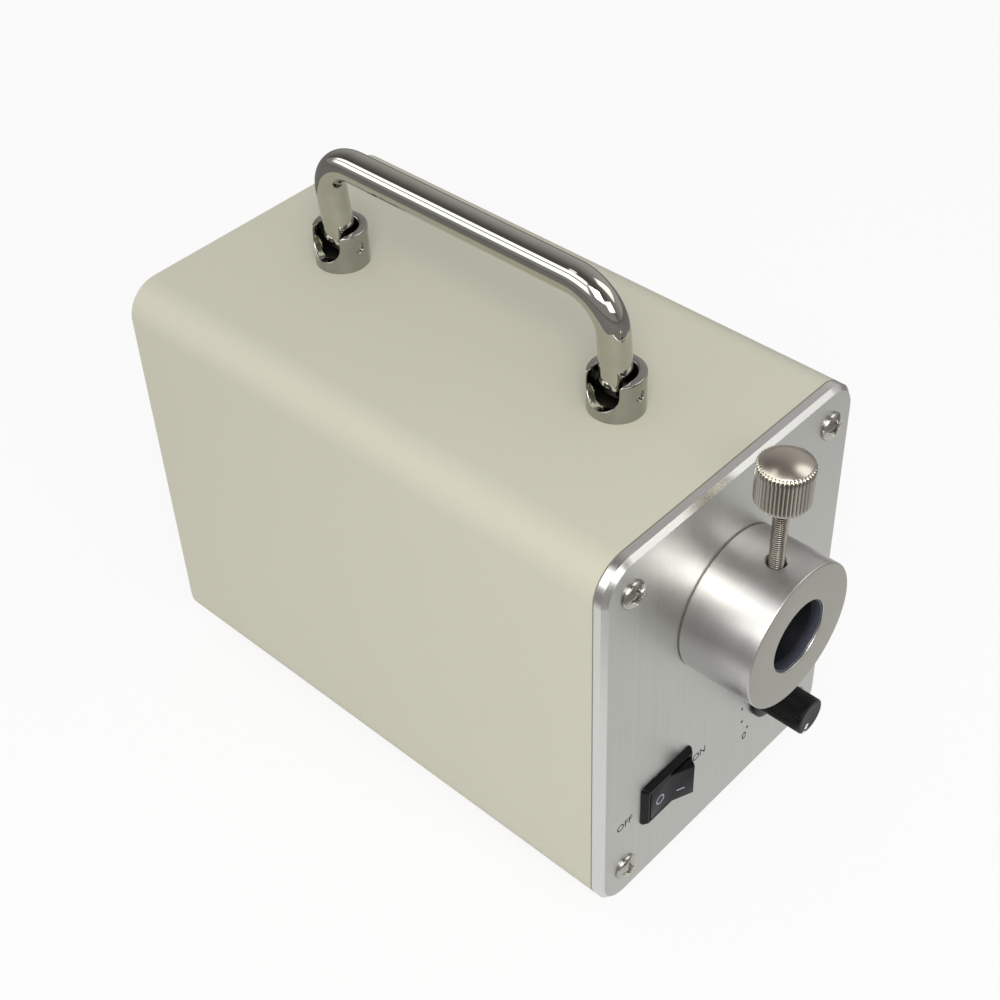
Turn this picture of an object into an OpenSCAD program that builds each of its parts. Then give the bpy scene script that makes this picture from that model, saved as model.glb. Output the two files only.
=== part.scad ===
// Fiber optic illuminator: a bench light source with a light guide port, a switch, a dimmer and a fold-down handle.
// X runs to the right as seen from the front, the front panel faces -Y, Z runs up, and the feet stand on Z = 0.
// The modules are drawn from the sleeve's front lower edge, and in_frame() sets them in the part's own frame.

/* [Housing] */
// Width of the housing sleeve
body_w = 100; // [98:1:110]
// Height of the housing sleeve
body_h = 130; // [128:1:140]
// Depth of the housing sleeve, from panel to panel
body_d = 170; // [166:1:190]
// Radius of the sleeve's long corners
body_r = 10; // [8:0.5:12]
// Wall of the sleeve
wall_t = 2.5; // [2:0.25:3]
// Thickness of the front panel
panel_t = 3.5; // [3:0.25:4]
// Thickness of the rear panel
rear_t = 1.5; // [1.2:0.1:2]
// Bevel round the outer edge of the front panel
panel_bevel = 1.3; // [0.8:0.1:1.6]
// Distance of the corner screws from the sides
corner_screw_x = 10; // [9.5:0.5:11.5]
// Distance of the corner screws from the top and the underside
corner_screw_z = 11.5; // [10.5:0.5:12]
// Height of each rubber foot
foot_h = 4; // [3:0.5:6]
// Diameter of each rubber foot
foot_d = 12; // [11:0.5:14]
// Distance of the feet from the sides
foot_in_x = 15; // [12:1:18]
// Distance of the feet from the front and the rear
foot_in_y = 18; // [12:1:24]

/* [Light port] */
// Diameter of the light port
port_d = 42; // [40:0.5:46]
// Length of the light port in front of the panel
port_len = 22; // [20:0.5:26]
// Drop of the light port's axis below the middle of the room over the inlet
port_low = 2.4; // [0:0.2:4]
// Bore that takes the light guide
guide_d = 19; // [17:0.5:20]
// Thumb screw's distance in front of the panel
thumb_y = 13; // [11:0.5:14]
// Diameter of the thumb screw's head
thumb_head_d = 14.6; // [13:0.2:17]
// Height of the fluted part of the head
thumb_head_h = 11.4; // [10:0.2:13]
// Height of the dome on the head
thumb_dome_h = 2.7; // [2:0.1:3.4]
// Gap between the head and the port as the screw stands
thumb_up = 20; // [17:0.5:22]

/* [Handle] */
// Distance between the two handle bosses
handle_span = 100; // [90:1:112]
// Diameter of the handle bar
handle_bar_d = 8.8; // [8:0.2:9.2]
// Height of the bar's centre line above the pivot
handle_rise = 28.6; // [26:0.2:34]
// Radius of the handle's bends, on the centre line
handle_bend_r = 12; // [10:0.5:14]
// Lean of the handle as it stands, in degrees
handle_lean = 5; // [0:1:15]
// Diameter of each handle boss
boss_d = 15.5; // [15:0.25:17]
// Height of each handle boss
boss_h = 11.5; // [11:0.25:13]

/* [Switch and dimmer] */
// Width of the switch bezel
bezel_w = 21.2; // [21:0.2:23]
// Height of the switch bezel
bezel_h = 15.6; // [15.2:0.2:17]
// Distance of the switch from the middle of the panel
switch_x = 23.3; // [22:0.5:25]
// Height of the switch above the underside
switch_z = 31.2; // [30:0.5:34]
// Distance of the dimmer from the middle of the panel
dimmer_x = 23.7; // [22:0.5:25]
// Height of the dimmer above the underside
dimmer_z = 29.2; // [29:0.5:34]
// Diameter of the dimmer knob
knob_d = 11.3; // [10.5:0.1:13]
// Length of the dimmer knob, with its skirt
knob_len = 14.7; // [12:0.5:17]
// Diameter of the knob's skirt
knob_skirt_d = 15.7; // [14.5:0.1:18]

/* [Light engine] */
// Diameter of the condenser lenses
lens_d = 34.6; // [30:0.2:35]
// Sphere radius of the condenser lenses
lens_r = 24; // [22:0.5:30]
// Gap between the heat sink and the sleeve's walls
sink_gap = 15.5; // [14:0.5:19]
// Room above and below the heat sink
sink_room = 8.1; // [7:0.1:10]
// Length of the heat sink's fins
fin_len = 44; // [34:1:46]
// Number of fins
fin_count = 13; // [9:1:15]

/* [Fan and inlet] */
// Room above and below the fan's square frame
fan_room = 8.1; // [8:0.1:9]
// Depth of the fan
fan_t = 20; // [18:1:25]
// Number of fan blades
blade_count = 7; // [5:1:9]
// Width of the inlet's flange
inlet_w = 48; // [46:1:52]
// Height of the inlet's flange
inlet_h = 31; // [30:0.5:32]

/* [Hidden] */
$fn = 64;

// Clearances and the overrun of cuts
fit_gap = 0.05;
press_gap = 0.02;
join = 0.01;
air_gap = 0.3;
over = 1;

// Screw sizes: M4 for the housing and M3 for the rest
m4_r = 2;
m4_head_r = 4;
m4_head_h = 2;
m3_r = 1.5;
m3_head_r = 2.75;
m3_head_h = 2;
cross_w = 0.9;
head_edge = 0.6;

// Housing details
rear_y = body_d + rear_t;
rear_in = 2;
rear_bevel = 0.4;
screw_port_r = 4.6;
web_t = 2.5;
corner_screw_len = 12;
rail_w = 3;
rail_t = 1.5;
plate_t = 2;
rail_lift = 0.4;
chassis_z = corner_screw_z + screw_port_r + rail_t + rail_lift;
chassis_top = chassis_z + plate_t;
intake_w = 4;
intake_len = 46;
intake_pitch = 8;
intake_y = 78;
intake_count = 5;
foot_screw_len = 7;
foot_taper = 1;
foot_recess_h = 2.6;
foot_recess_r = 3.6;
boss_edge = 0.8;

// The room over the inlet, which the light port, the heat sink and the fan share
inlet_top = chassis_top + inlet_h + air_gap;
room_h = body_h - wall_t - inlet_top;
port_z = inlet_top + room_h / 2 - port_low;
sink_h = room_h - 2 * sink_room;
fan_size = room_h - 2 * fan_room;

// Light port details
port_r = port_d / 2;
port_edge = 0.5;
mouth_bevel = 0.7;
spigot_r = 14;
liner_t = 0.95;
liner_step = 0.6;
mouth_len = 2.2;
guide_r = guide_d / 2;
liner_r = guide_r + liner_t;
port_bore_r = liner_r + fit_gap;
port_face_y = -panel_t - port_len;
port_screw_pcr = 17.3;
port_screw_len = 9.5;
flat_head_r = 2.9;
countersink_r = 2.8;
thumb_base = 0.8;
thumb_tip_r = 1.3;
thumb_tip_h = 1.2;
thumb_stem_r = 0.8;
thumb_stem_h = 3;
thumb_tip_up = 0.4;
flute_r = 0.45;
flute_count = 44;
tip_hole_r = 2.2;

// Light engine details
barrel_wall = 2;
barrel_lip = 1.5;
lens_edge = 2;
lens_apart = 1.2;
lens_seat_y = 6;
stop_t = 2.5;
ring_len = 4;
flange_t = 3;
flange_r = 26;
flange_screw_pcr = 22.8;
stop_r = guide_r - 1;
led_board_r = 15;
led_board_t = 1.6;
led_hole_x = 11;
emitter_w = 13.5;
emitter_t = 1;
phosphor_r = 5.5;
phosphor_t = 0.3;
engine_gap = 0.4;
window_r = 18;
sink_w = body_w - 2 * (wall_t + sink_gap);
bracket_t = 2;
bracket_over = 2;
bracket_foot = 20;
sink_base = 6;
fin_t = 1.5;
sink_screw_in = 5;
bracket_y = 46;
sink_y = bracket_y + bracket_t;
wire_hole_r = 4;
wire_hole_z = 47;
lens_rad = lens_d / 2;
lens_dome = lens_r - sqrt(lens_r * lens_r - lens_rad * lens_rad);
barrel_in_r = lens_rad + fit_gap;
barrel_out_r = barrel_in_r + barrel_wall;
front_lens_y = lens_seat_y;
rear_lens_y = front_lens_y + 2 * lens_edge + 2 * lens_dome + lens_apart;
spacer_in_r = lens_rad - barrel_lip;
spacer_rise = sqrt(lens_r * lens_r - spacer_in_r * spacer_in_r) - lens_r + lens_dome;
spacer_y0 = front_lens_y + lens_edge + spacer_rise + fit_gap;
spacer_y1 = rear_lens_y - lens_edge - spacer_rise - fit_gap;

// Fan details
fan_hole_in = 5;
duct_wall = 2;
duct_r = fan_size / 2 - duct_wall;
hub_r = 12;
hub_t = 3;
strut_w = 3;
post_r = 3.2;
pin_r = 1;
rotor_gap = 0.6;
rotor_wall = 1.2;
blade_t = 1.2;
blade_tilt = 38;
fan_y = body_d - fan_t;
fan_screw_len = 14;
slot_w = 3.6;
slot_pitch = 6.2;
slot_reach = duct_r - duct_wall;

// Driver details
cap_gap = 4;
board_gap = 16.5;
board_w = body_w - 2 * (wall_t + board_gap);
board_t = 1.6;
board_y = bracket_y + bracket_foot + cap_gap;
board_in = 4;
wire_room = 8.5;
standoff_h = 6;
standoff_r = 3;
board_z = chassis_top + standoff_h;
board_top = board_z + board_t;
core_w = 24;
core_share = 0.3;
core_h = 18;
coil_out = 3;
cap_r = 6;
cap_h = 20;
block_w = 16;
block_d = 8;
block_h = 10;
block_hole = 4;

// Inlet details
inlet_z = inlet_top - inlet_h / 2;
inlet_flange_t = 3;
inlet_body_w = 27;
inlet_body_h = 29;
inlet_depth = 22;
socket_w = 24.4;
socket_h = 16.6;
socket_depth = 16.5;
socket_up = 5;
socket_chamfer = 4;
inlet_pin_w = 2;
inlet_pin_h = 4;
inlet_pin_len = 13.5;
inlet_pin_side = 7;
inlet_pin_up = 2;
inlet_tab_len = 7;
drawer_w = 21.4;
drawer_h = 6.6;
drawer_down = 9.6;
drawer_len = 23;
drawer_face_t = 1.4;
drawer_lip = 0.6;
drawer_grip = 3;
fuse_r = 2.5;
fuse_len = 20;
inlet_screw_in = 4;
inlet_screw_len = 9;
board_len = rear_y - inlet_depth - inlet_tab_len - wire_room - board_y;
core_d = board_len * core_share;

// Switch details
bezel_t = 1.8;
bezel_r = 1.5;
bezel_bevel = 1.3;
switch_body_w = 19.2;
switch_body_h = 13;
switch_depth = 17;
well_depth = 12;
rocker_half = 7.6;
rocker_h = 11.4;
rocker_tilt = 11;
rocker_face = 2.85;
rocker_skirt = 1.8;
rocker_pivot = 2.8;
rocker_tip_v = rocker_face + rocker_half * tan(rocker_tilt);
rocker_r = sqrt(rocker_half * rocker_half + rocker_tip_v * rocker_tip_v);
trunnion_r = 1.2;
trunnion_len = 0.5;
well_gap = 0.2;
switch_tab_w = 4.8;
switch_tab_t = 0.8;
switch_tab_len = 8;
switch_tab_apart = 7;
switch_y = -panel_t - bezel_t + rocker_pivot;

// Dimmer details
shaft_r = 3;
bushing_r = 3.5;
nut_recess = 2.2;
nut_recess_r = 6.2;
nut_across = 10;
nut_t = 1.5;
washer_t = 0.4;
washer_r = 5.8;
pot_r = 8;
pot_wall = 1;
pot_len = 9;
wiper_r = 6.4;
wiper_t = 1.5;
wiper_y = 4;
pot_tab_w = 1.4;
pot_tab_t = 0.5;
pot_tab_len = 5;
pot_tab_pitch = 4;
skirt_t = 1.2;
knob_edge = 0.5;
knob_crown = 1.5;
pointer_deg = 240;

// Handle details
pivot_up = 6.9;
boss_bore_r = 5.25;
boss_floor = 3;
tongue_r = 3.4;
tongue_half = 3.1;
tongue_inset = 0.15;
shoulder_up = 5.6;
handle_pin_r = 1.5;
pin_recess = 0.6;
boss_screw_len = 5.2;
handle_y1 = (body_d - handle_span) / 2;
handle_y2 = (body_d + handle_span) / 2;
pivot_z = body_h + pivot_up;

// Wire sizes and the channel that the wires run in
wire_bead = 0.12;
wire_sides = 16;
mains_r = 1.1;
lead_r = 0.7;
channel_x = body_w / 2 - wall_t - sink_gap / 2;

// The origin lies under the middle of the whole object, from the port's mouth to the back of the inlet
front_reach = panel_t + port_len;
rear_reach = rear_y + inlet_flange_t + max(drawer_face_t, m3_head_h);
frame_y = (front_reach - rear_reach) / 2;

module in_frame() {
    translate([0, frame_y, foot_h]) children();
}

// A box between two corners
module box(x0, x1, y0, y1, z0, z1) {
    translate([x0, y0, z0]) cube([x1 - x0, y1 - y0, z1 - z0]);
}

// A rod along each axis, from one place to another
module rod_x(r, x0, x1, y, z) {
    translate([x0, y, z]) rotate([0, 90, 0]) cylinder(r = r, h = x1 - x0);
}

module rod_y(r, y0, y1, x, z) {
    translate([x, y1, z]) rotate([90, 0, 0]) cylinder(r = r, h = y1 - y0);
}

module rod_z(r, z0, z1, x, y) {
    translate([x, y, z0]) cylinder(r = r, h = z1 - z0);
}

// A cone along Y, with a radius at each end
module cone_y(r0, r1, y0, y1, x, z) {
    translate([x, y0, z]) rotate([-90, 0, 0]) cylinder(r1 = r0, r2 = r1, h = y1 - y0);
}

// A profile of radius and Y turned about an axis along Y
module turned_y(x, z) {
    translate([x, 0, z]) rotate([-90, 0, 0]) rotate_extrude() children();
}

// An outline in X and Z, drawn out along Y
module drawn_y(y0, y1) {
    translate([0, y1, 0]) rotate([90, 0, 0]) linear_extrude(y1 - y0) children();
}

module round_rect(w, h, r) {
    square([w - 2 * r, h], center = true);
    square([w, h - 2 * r], center = true);
    for (sx = [-1, 1], sy = [-1, 1])
        translate([sx * (w / 2 - r), sy * (h / 2 - r)]) circle(r = r);
}

// Puts its children at the four corner screws, in X and Z
module at_corner_screws() {
    for (sx = [-1, 1], z = [corner_screw_z, body_h - corner_screw_z])
        translate([sx * (body_w / 2 - corner_screw_x), 0, z]) children();
}

// A cross-recessed pan head screw: the shank runs up Z and the head hangs below Z = 0
module pan_screw(r, len, head_r, head_h) {
    difference() {
        union() {
            cylinder(r = r, h = len);
            translate([0, 0, head_edge - head_h]) cylinder(r = head_r, h = head_h - head_edge);
            translate([0, 0, -head_h]) cylinder(r1 = head_r - head_edge, r2 = head_r, h = head_edge);
        }
        for (a = [0, 90])
            rotate([0, 0, a]) translate([-head_r / 2, -cross_w / 2, -head_h - over])
                cube([head_r, cross_w, over + head_h / 2]);
    }
}

// A countersunk screw: the head's flat face lies on Z = 0 and the shank runs up Z
module flat_screw(r, len, head_r) {
    head_h = head_r - r;
    difference() {
        union() {
            cylinder(r1 = head_r, r2 = r, h = head_h);
            cylinder(r = r, h = len);
        }
        for (a = [0, 90])
            rotate([0, 0, a]) translate([-head_r / 2, -cross_w / 2, -over])
                cube([head_r, cross_w, over + head_h / 2]);
    }
}

// A wire along a list of points: straight rods with a slightly thicker ball at each corner
module wire(points, r) {
    for (i = [0:len(points) - 2]) {
        step = points[i + 1] - points[i];
        run = norm(step);
        translate(points[i]) rotate([0, acos(step[2] / run), atan2(step[1], step[0])]) {
            cylinder(r = r, h = run, $fn = wire_sides);
            if (i > 0) sphere(r = r + wire_bead, $fn = wire_sides);
        }
    }
}

// Housing sleeve: an extruded tube with four screw ports and two rails for the chassis plate
module sleeve_section() {
    in_w = body_w - 2 * wall_t;
    in_h = body_h - 2 * wall_t;
    difference() {
        union() {
            difference() {
                round_rect(body_w, body_h, body_r);
                round_rect(in_w, in_h, body_r - wall_t);
            }
            for (sx = [-1, 1], sz = [-1, 1]) {
                px = body_w / 2 - corner_screw_x;
                pz = body_h / 2 - corner_screw_z;
                translate([sx * px, sz * pz]) circle(r = screw_port_r);
                translate([sx * (px + in_w / 2) / 2, sz * pz])
                    square([in_w / 2 - px + wall_t, web_t], center = true);
                translate([sx * px, sz * (pz + in_h / 2) / 2])
                    square([web_t, in_h / 2 - pz + wall_t], center = true);
            }
            for (sx = [-1, 1], z = [chassis_z - rail_t, chassis_top + press_gap])
                translate([sx * (in_w + wall_t) / 2 - (rail_w + wall_t / 2) / 2 * sx, z + rail_t / 2 - body_h / 2])
                    square([rail_w + wall_t / 2, rail_t], center = true);
        }
        for (sx = [-1, 1], sz = [-1, 1])
            translate([sx * (body_w / 2 - corner_screw_x), sz * (body_h / 2 - corner_screw_z)])
                circle(r = m4_r + fit_gap);
    }
}

// A row of intake slots across the middle, cut through a level sheet
module intake_slots(z0, z1) {
    for (i = [0:intake_count - 1]) {
        x = (i - (intake_count - 1) / 2) * intake_pitch;
        box(x - intake_w / 2, x + intake_w / 2, intake_y, intake_y + intake_len, z0, z1);
        for (y = [intake_y, intake_y + intake_len]) rod_z(intake_w / 2, z0, z1, x, y);
    }
}

module at_feet() {
    for (sx = [-1, 1], y = [foot_in_y, body_d - foot_in_y])
        translate([sx * (body_w / 2 - foot_in_x), y, 0]) children();
}

module housing_sleeve() {
    color([0.78, 0.77, 0.69]) in_frame() difference() {
        translate([0, 0, body_h / 2]) drawn_y(0, body_d) sleeve_section();
        intake_slots(-over, wall_t + over);
        at_feet() translate([0, 0, -over]) cylinder(r = m3_r + fit_gap, h = wall_t + 2 * over);
        for (y = [handle_y1, handle_y2])
            rod_z(m4_r + fit_gap, body_h - wall_t - over, body_h + over, 0, y);
    }
}

module bevel_section(w, bevel) {
    polygon([
        [-w / 2, 0],
        [bevel - w / 2, -join],
        [w / 2 - bevel, -join],
        [w / 2, 0],
        [w / 2 - bevel, bevel],
        [bevel - w / 2, bevel]
    ]);
}

// A plate with a bevelled outer edge: its back lies on Z = 0 and its bevelled face at Z = t
module bevel_plate(w, h, r, t, bevel) {
    flat_t = t - bevel;
    linear_extrude(flat_t) round_rect(w, h, r);
    translate([0, 0, flat_t]) {
        for (sx = [-1, 1], sy = [-1, 1])
            translate([sx * (w / 2 - r), sy * (h / 2 - r), 0]) cylinder(r1 = r, r2 = r - bevel, h = bevel);
        rotate([90, 0, 90]) translate([0, 0, r - w / 2]) linear_extrude(w - 2 * r) bevel_section(h, bevel);
        rotate([90, 0, 0]) translate([0, 0, r - h / 2]) linear_extrude(h - 2 * r) bevel_section(w, bevel);
    }
}

module at_port_screws() {
    for (a = [90, 210, 330])
        translate([port_screw_pcr * cos(a), 0, port_z + port_screw_pcr * sin(a)]) children();
}

module front_panel() {
    color([0.68, 0.68, 0.66]) in_frame() difference() {
        translate([0, 0, body_h / 2]) rotate([90, 0, 0])
            bevel_plate(body_w, body_h, body_r, panel_t, panel_bevel);
        at_corner_screws() rod_y(m4_r + air_gap, -panel_t - over, over, 0, 0);
        rod_y(spigot_r + fit_gap, -panel_t - over, over, 0, port_z);
        at_port_screws() {
            rod_y(m3_r + fit_gap, -panel_t - over, over, 0, 0);
            cone_y(m3_r, flat_head_r + fit_gap, m3_r - flat_head_r - fit_gap, 0, 0, 0);
        }
        box(-switch_x - switch_body_w / 2 - fit_gap, -switch_x + switch_body_w / 2 + fit_gap,
            -panel_t - over, over,
            switch_z - switch_body_h / 2 - fit_gap, switch_z + switch_body_h / 2 + fit_gap);
        rod_y(bushing_r + fit_gap, -panel_t - over, over, dimmer_x, dimmer_z);
        rod_y(nut_recess_r, -panel_t - over, nut_recess - panel_t, dimmer_x, dimmer_z);
    }
}

module at_fan_screws() {
    side = fan_size / 2 - fan_hole_in;
    for (sx = [-1, 1], sz = [-1, 1]) translate([sx * side, 0, port_z + sz * side]) children();
}

module at_inlet_screws() {
    for (sx = [-1, 1]) translate([sx * (inlet_w / 2 - inlet_screw_in), 0, inlet_z]) children();
}

// Exhaust slots in front of the fan, each as long as the duct's circle allows
module exhaust_slots(y0, y1) {
    rows = floor((slot_reach - slot_w) / slot_pitch);
    for (i = [-rows:rows]) {
        z = port_z + i * slot_pitch;
        half = sqrt(slot_reach * slot_reach - i * i * slot_pitch * slot_pitch) - slot_w / 2;
        box(-half, half, y0, y1, z - slot_w / 2, z + slot_w / 2);
        for (sx = [-1, 1]) rod_y(slot_w / 2, y0, y1, sx * half, z);
    }
}

module rear_panel() {
    color([0.68, 0.68, 0.66]) in_frame() difference() {
        translate([0, body_d, body_h / 2]) rotate([-90, 0, 0])
            bevel_plate(body_w - 2 * rear_in, body_h - 2 * rear_in, body_r - rear_in, rear_t, rear_bevel);
        at_corner_screws() rod_y(m4_r + air_gap, body_d - over, rear_y + over, 0, 0);
        at_fan_screws() rod_y(m4_r + air_gap, body_d - over, rear_y + over, 0, 0);
        exhaust_slots(body_d - over, rear_y + over);
        box(-inlet_body_w / 2 - fit_gap, inlet_body_w / 2 + fit_gap, body_d - over, rear_y + over,
            inlet_z - inlet_body_h / 2 - fit_gap, inlet_z + inlet_body_h / 2 + fit_gap);
        at_inlet_screws() rod_y(m3_r + fit_gap, body_d - over, rear_y + over, 0, 0);
    }
}

module front_panel_screws() {
    color([0.75, 0.75, 0.74]) in_frame() at_corner_screws() translate([0, -panel_t, 0]) rotate([-90, 0, 0])
        pan_screw(m4_r, corner_screw_len, m4_head_r, m4_head_h);
}

module rear_panel_screws() {
    color([0.75, 0.75, 0.74]) in_frame() at_corner_screws() translate([0, rear_y, 0])
        rotate([90, 0, 0]) pan_screw(m4_r, corner_screw_len, m4_head_r, m4_head_h);
}

// Chassis plate: slides in the sleeve's rails between the two panels
module chassis_plate() {
    half = body_w / 2 - wall_t - air_gap;
    color([0.7, 0.71, 0.72]) in_frame() difference() {
        box(-half, half, air_gap, body_d - air_gap, chassis_z, chassis_top);
        intake_slots(chassis_z - over, chassis_top + over);
        at_standoffs() rod_z(m3_r + fit_gap, chassis_z - over, chassis_top + over, 0, 0);
        at_bracket_screws() rod_z(m3_r + fit_gap, chassis_z - over, chassis_top + over, 0, 0);
    }
}

module rubber_feet() {
    color([0.1, 0.1, 0.1]) in_frame() at_feet() difference() {
        translate([0, 0, -foot_h]) cylinder(r1 = foot_d / 2 - foot_taper, r2 = foot_d / 2, h = foot_h);
        translate([0, 0, -foot_h - over]) cylinder(r = foot_recess_r, h = foot_recess_h + over);
        translate([0, 0, -foot_h]) cylinder(r = m3_r + fit_gap, h = foot_h + over);
    }
}

module foot_screws() {
    color([0.75, 0.75, 0.74]) in_frame() at_feet() translate([0, 0, foot_recess_h - foot_h])
        pan_screw(m3_r, foot_screw_len, m3_head_r, m3_head_h);
}

// Light port: a turned tube with a spigot through the panel, a tapped hole for the thumb screw on top
module light_port() {
    color([0.72, 0.72, 0.68]) in_frame() difference() {
        turned_y(0, port_z) polygon([
            [port_bore_r, 0],
            [spigot_r, 0],
            [spigot_r, -panel_t],
            [port_r, -panel_t],
            [port_r, port_face_y + port_edge],
            [port_r - port_edge, port_face_y],
            [port_bore_r + mouth_bevel, port_face_y],
            [port_bore_r, port_face_y + mouth_bevel]
        ]);
        rod_z(m4_r + fit_gap, port_z, port_z + port_r + over, 0, -panel_t - thumb_y);
        translate([0, -panel_t - thumb_y, port_z + port_r - countersink_r + m4_r])
            cylinder(r1 = m4_r, r2 = m4_r + over, h = over);
        at_port_screws() rod_y(m3_r + fit_gap, -port_screw_len - over, over, 0, 0);
    }
}

// Port liner: the black sleeve that holds the light guide, with a wider mouth
module port_liner() {
    mouth_y = port_face_y + mouth_bevel;
    color([0.05, 0.05, 0.05]) in_frame() difference() {
        turned_y(0, port_z) polygon([
            [guide_r, 0],
            [liner_r, 0],
            [liner_r, mouth_y],
            [guide_r + liner_step, mouth_y],
            [guide_r + liner_step, mouth_y + mouth_len],
            [guide_r, mouth_y + mouth_len]
        ]);
        rod_z(tip_hole_r, port_z, port_z + port_r, 0, -panel_t - thumb_y);
    }
}

module port_screws() {
    color([0.3, 0.3, 0.3]) in_frame() at_port_screws() rotate([90, 0, 0])
        flat_screw(m3_r, port_screw_len, flat_head_r);
}

// Thumb screw: a fluted, domed head on a threaded shank, with a blind hole for the tip
thumb_low_z = port_z + guide_r + thumb_tip_up;
module thumb_screw() {
    head_z = port_z + port_r + thumb_up;
    head_r = thumb_head_d / 2;
    dome_r = (head_r * head_r + thumb_dome_h * thumb_dome_h) / (2 * thumb_dome_h);
    top_z = head_z + thumb_head_h;
    color([0.72, 0.71, 0.68]) in_frame() translate([0, -panel_t - thumb_y, 0]) difference() {
        union() {
            rod_z(m4_r, thumb_low_z + thumb_tip_h, head_z + over, 0, 0);
            translate([0, 0, head_z]) cylinder(r1 = head_r - thumb_base, r2 = head_r, h = thumb_base);
            rod_z(head_r, head_z + thumb_base, top_z, 0, 0);
            intersection() {
                rod_z(head_r, top_z, top_z + thumb_dome_h, 0, 0);
                translate([0, 0, top_z + thumb_dome_h - dome_r]) sphere(r = dome_r);
            }
        }
        for (i = [0:flute_count - 1])
            rotate([0, 0, i * 360 / flute_count]) rod_z(flute_r, head_z - over, top_z, head_r, 0);
        rod_z(thumb_stem_r + fit_gap, thumb_low_z, thumb_low_z + thumb_tip_h + thumb_stem_h + fit_gap, 0, 0);
    }
}

// Pressure tip: a small pad that stays still on the light guide while the screw turns
module thumb_screw_tip() {
    color([0.9, 0.89, 0.84]) in_frame() translate([0, -panel_t - thumb_y, 0]) {
        rod_z(thumb_tip_r, thumb_low_z, thumb_low_z + thumb_tip_h - fit_gap, 0, 0);
        rod_z(thumb_stem_r, thumb_low_z, thumb_low_z + thumb_tip_h + thumb_stem_h - fit_gap, 0, 0);
    }
}

// Lens barrel: a black tube on a flange, with a stop that ends the light guide's travel
module lens_barrel() {
    end_y = bracket_y;
    color([0.06, 0.06, 0.06]) in_frame() difference() {
        turned_y(0, port_z) polygon([
            [stop_r, air_gap],
            [barrel_out_r, air_gap],
            [barrel_out_r, end_y - flange_t],
            [flange_r, end_y - flange_t],
            [flange_r, end_y],
            [barrel_in_r, end_y],
            [barrel_in_r, lens_seat_y],
            [barrel_in_r - barrel_lip, lens_seat_y],
            [barrel_in_r - barrel_lip, stop_t],
            [stop_r, stop_t]
        ]);
        at_barrel_screws() rod_y(m3_r + fit_gap, end_y - flange_t - over, end_y + over, 0, 0);
        box(-wire_hole_r, wire_hole_r, end_y - flange_t - over, end_y + over,
            port_z - flange_r - over, port_z - barrel_in_r + over);
    }
}

module at_barrel_screws() {
    for (a = [45, 135, 225, 315])
        translate([flange_screw_pcr * cos(a), 0, port_z + flange_screw_pcr * sin(a)]) children();
}

module barrel_screws() {
    color([0.3, 0.3, 0.3]) in_frame() at_barrel_screws() translate([0, bracket_y - flange_t, 0])
        rotate([-90, 0, 0]) pan_screw(m3_r, flange_t + bracket_t, m3_head_r, m3_head_h);
}

// A plano-convex lens on the port's axis: its flat face at flat_y, its dome towards dir
module lens(flat_y, dir) {
    thick = lens_edge + lens_dome;
    intersection() {
        translate([0, flat_y, port_z]) rotate([-90 * dir, 0, 0]) cylinder(r = lens_rad, h = thick + over);
        translate([0, flat_y + dir * (thick - lens_r), port_z]) sphere(r = lens_r);
    }
}

module condenser_lens_front() {
    color([0.8, 0.88, 0.92, 0.5]) in_frame() lens(front_lens_y, 1);
}

module condenser_lens_rear() {
    color([0.8, 0.88, 0.92, 0.5]) in_frame() lens(rear_lens_y, -1);
}

module ring_y(r_in, r_out, y0, y1) {
    turned_y(0, port_z) polygon([[r_in, y0], [r_out, y0], [r_out, y1], [r_in, y1]]);
}

module lens_spacer() {
    color([0.08, 0.08, 0.08]) in_frame()
        ring_y(spacer_in_r, lens_rad, spacer_y0, spacer_y1);
}

module lens_retaining_ring() {
    color([0.08, 0.08, 0.08]) in_frame()
        ring_y(lens_rad - 2 * barrel_lip, lens_rad, rear_lens_y, rear_lens_y + ring_len);
}

// Light source: a copper-cored board on the heat sink, with the emitter in front of it
module at_led_screws() {
    for (sx = [-1, 1]) translate([sx * led_hole_x, 0, port_z]) children();
}

module led_board() {
    color([0.85, 0.85, 0.8]) in_frame() difference() {
        rod_y(led_board_r, sink_y - led_board_t, sink_y, 0, port_z);
        at_led_screws() rod_y(m3_r + fit_gap, sink_y - led_board_t - over, sink_y + over, 0, 0);
    }
}

module led_emitter() {
    front_y = sink_y - led_board_t;
    color([0.95, 0.8, 0.25]) in_frame() {
        box(-emitter_w / 2, emitter_w / 2, front_y - emitter_t, front_y,
            port_z - emitter_w / 2, port_z + emitter_w / 2);
        rod_y(phosphor_r, front_y - emitter_t - phosphor_t, front_y - emitter_t, 0, port_z);
    }
}

module led_board_screws() {
    color([0.75, 0.75, 0.74]) in_frame() at_led_screws() translate([0, sink_y - led_board_t, 0])
        rotate([-90, 0, 0]) pan_screw(m3_r, led_board_t + sink_base - over, m3_head_r, m3_head_h);
}

module at_sink_screws() {
    for (sx = [-1, 1], sz = [-1, 1])
        translate([sx * (sink_w / 2 - sink_screw_in), 0, port_z + sz * (sink_h / 2 - sink_screw_in)]) children();
}

module heat_sink() {
    color([0.75, 0.76, 0.78]) in_frame() difference() {
        union() {
            box(-sink_w / 2, sink_w / 2, sink_y, sink_y + sink_base, port_z - sink_h / 2, port_z + sink_h / 2);
            for (i = [0:fin_count - 1]) {
                x = (sink_w - fin_t) * (i / (fin_count - 1) - 1 / 2);
                box(x - fin_t / 2, x + fin_t / 2, sink_y + sink_base, sink_y + sink_base + fin_len,
                    port_z - sink_h / 2, port_z + sink_h / 2);
            }
        }
        at_led_screws() rod_y(m3_r + fit_gap, sink_y - over, sink_y + sink_base, 0, 0);
        at_sink_screws() rod_y(m3_r + fit_gap, sink_y - over, sink_y + sink_base, 0, 0);
    }
}

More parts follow.
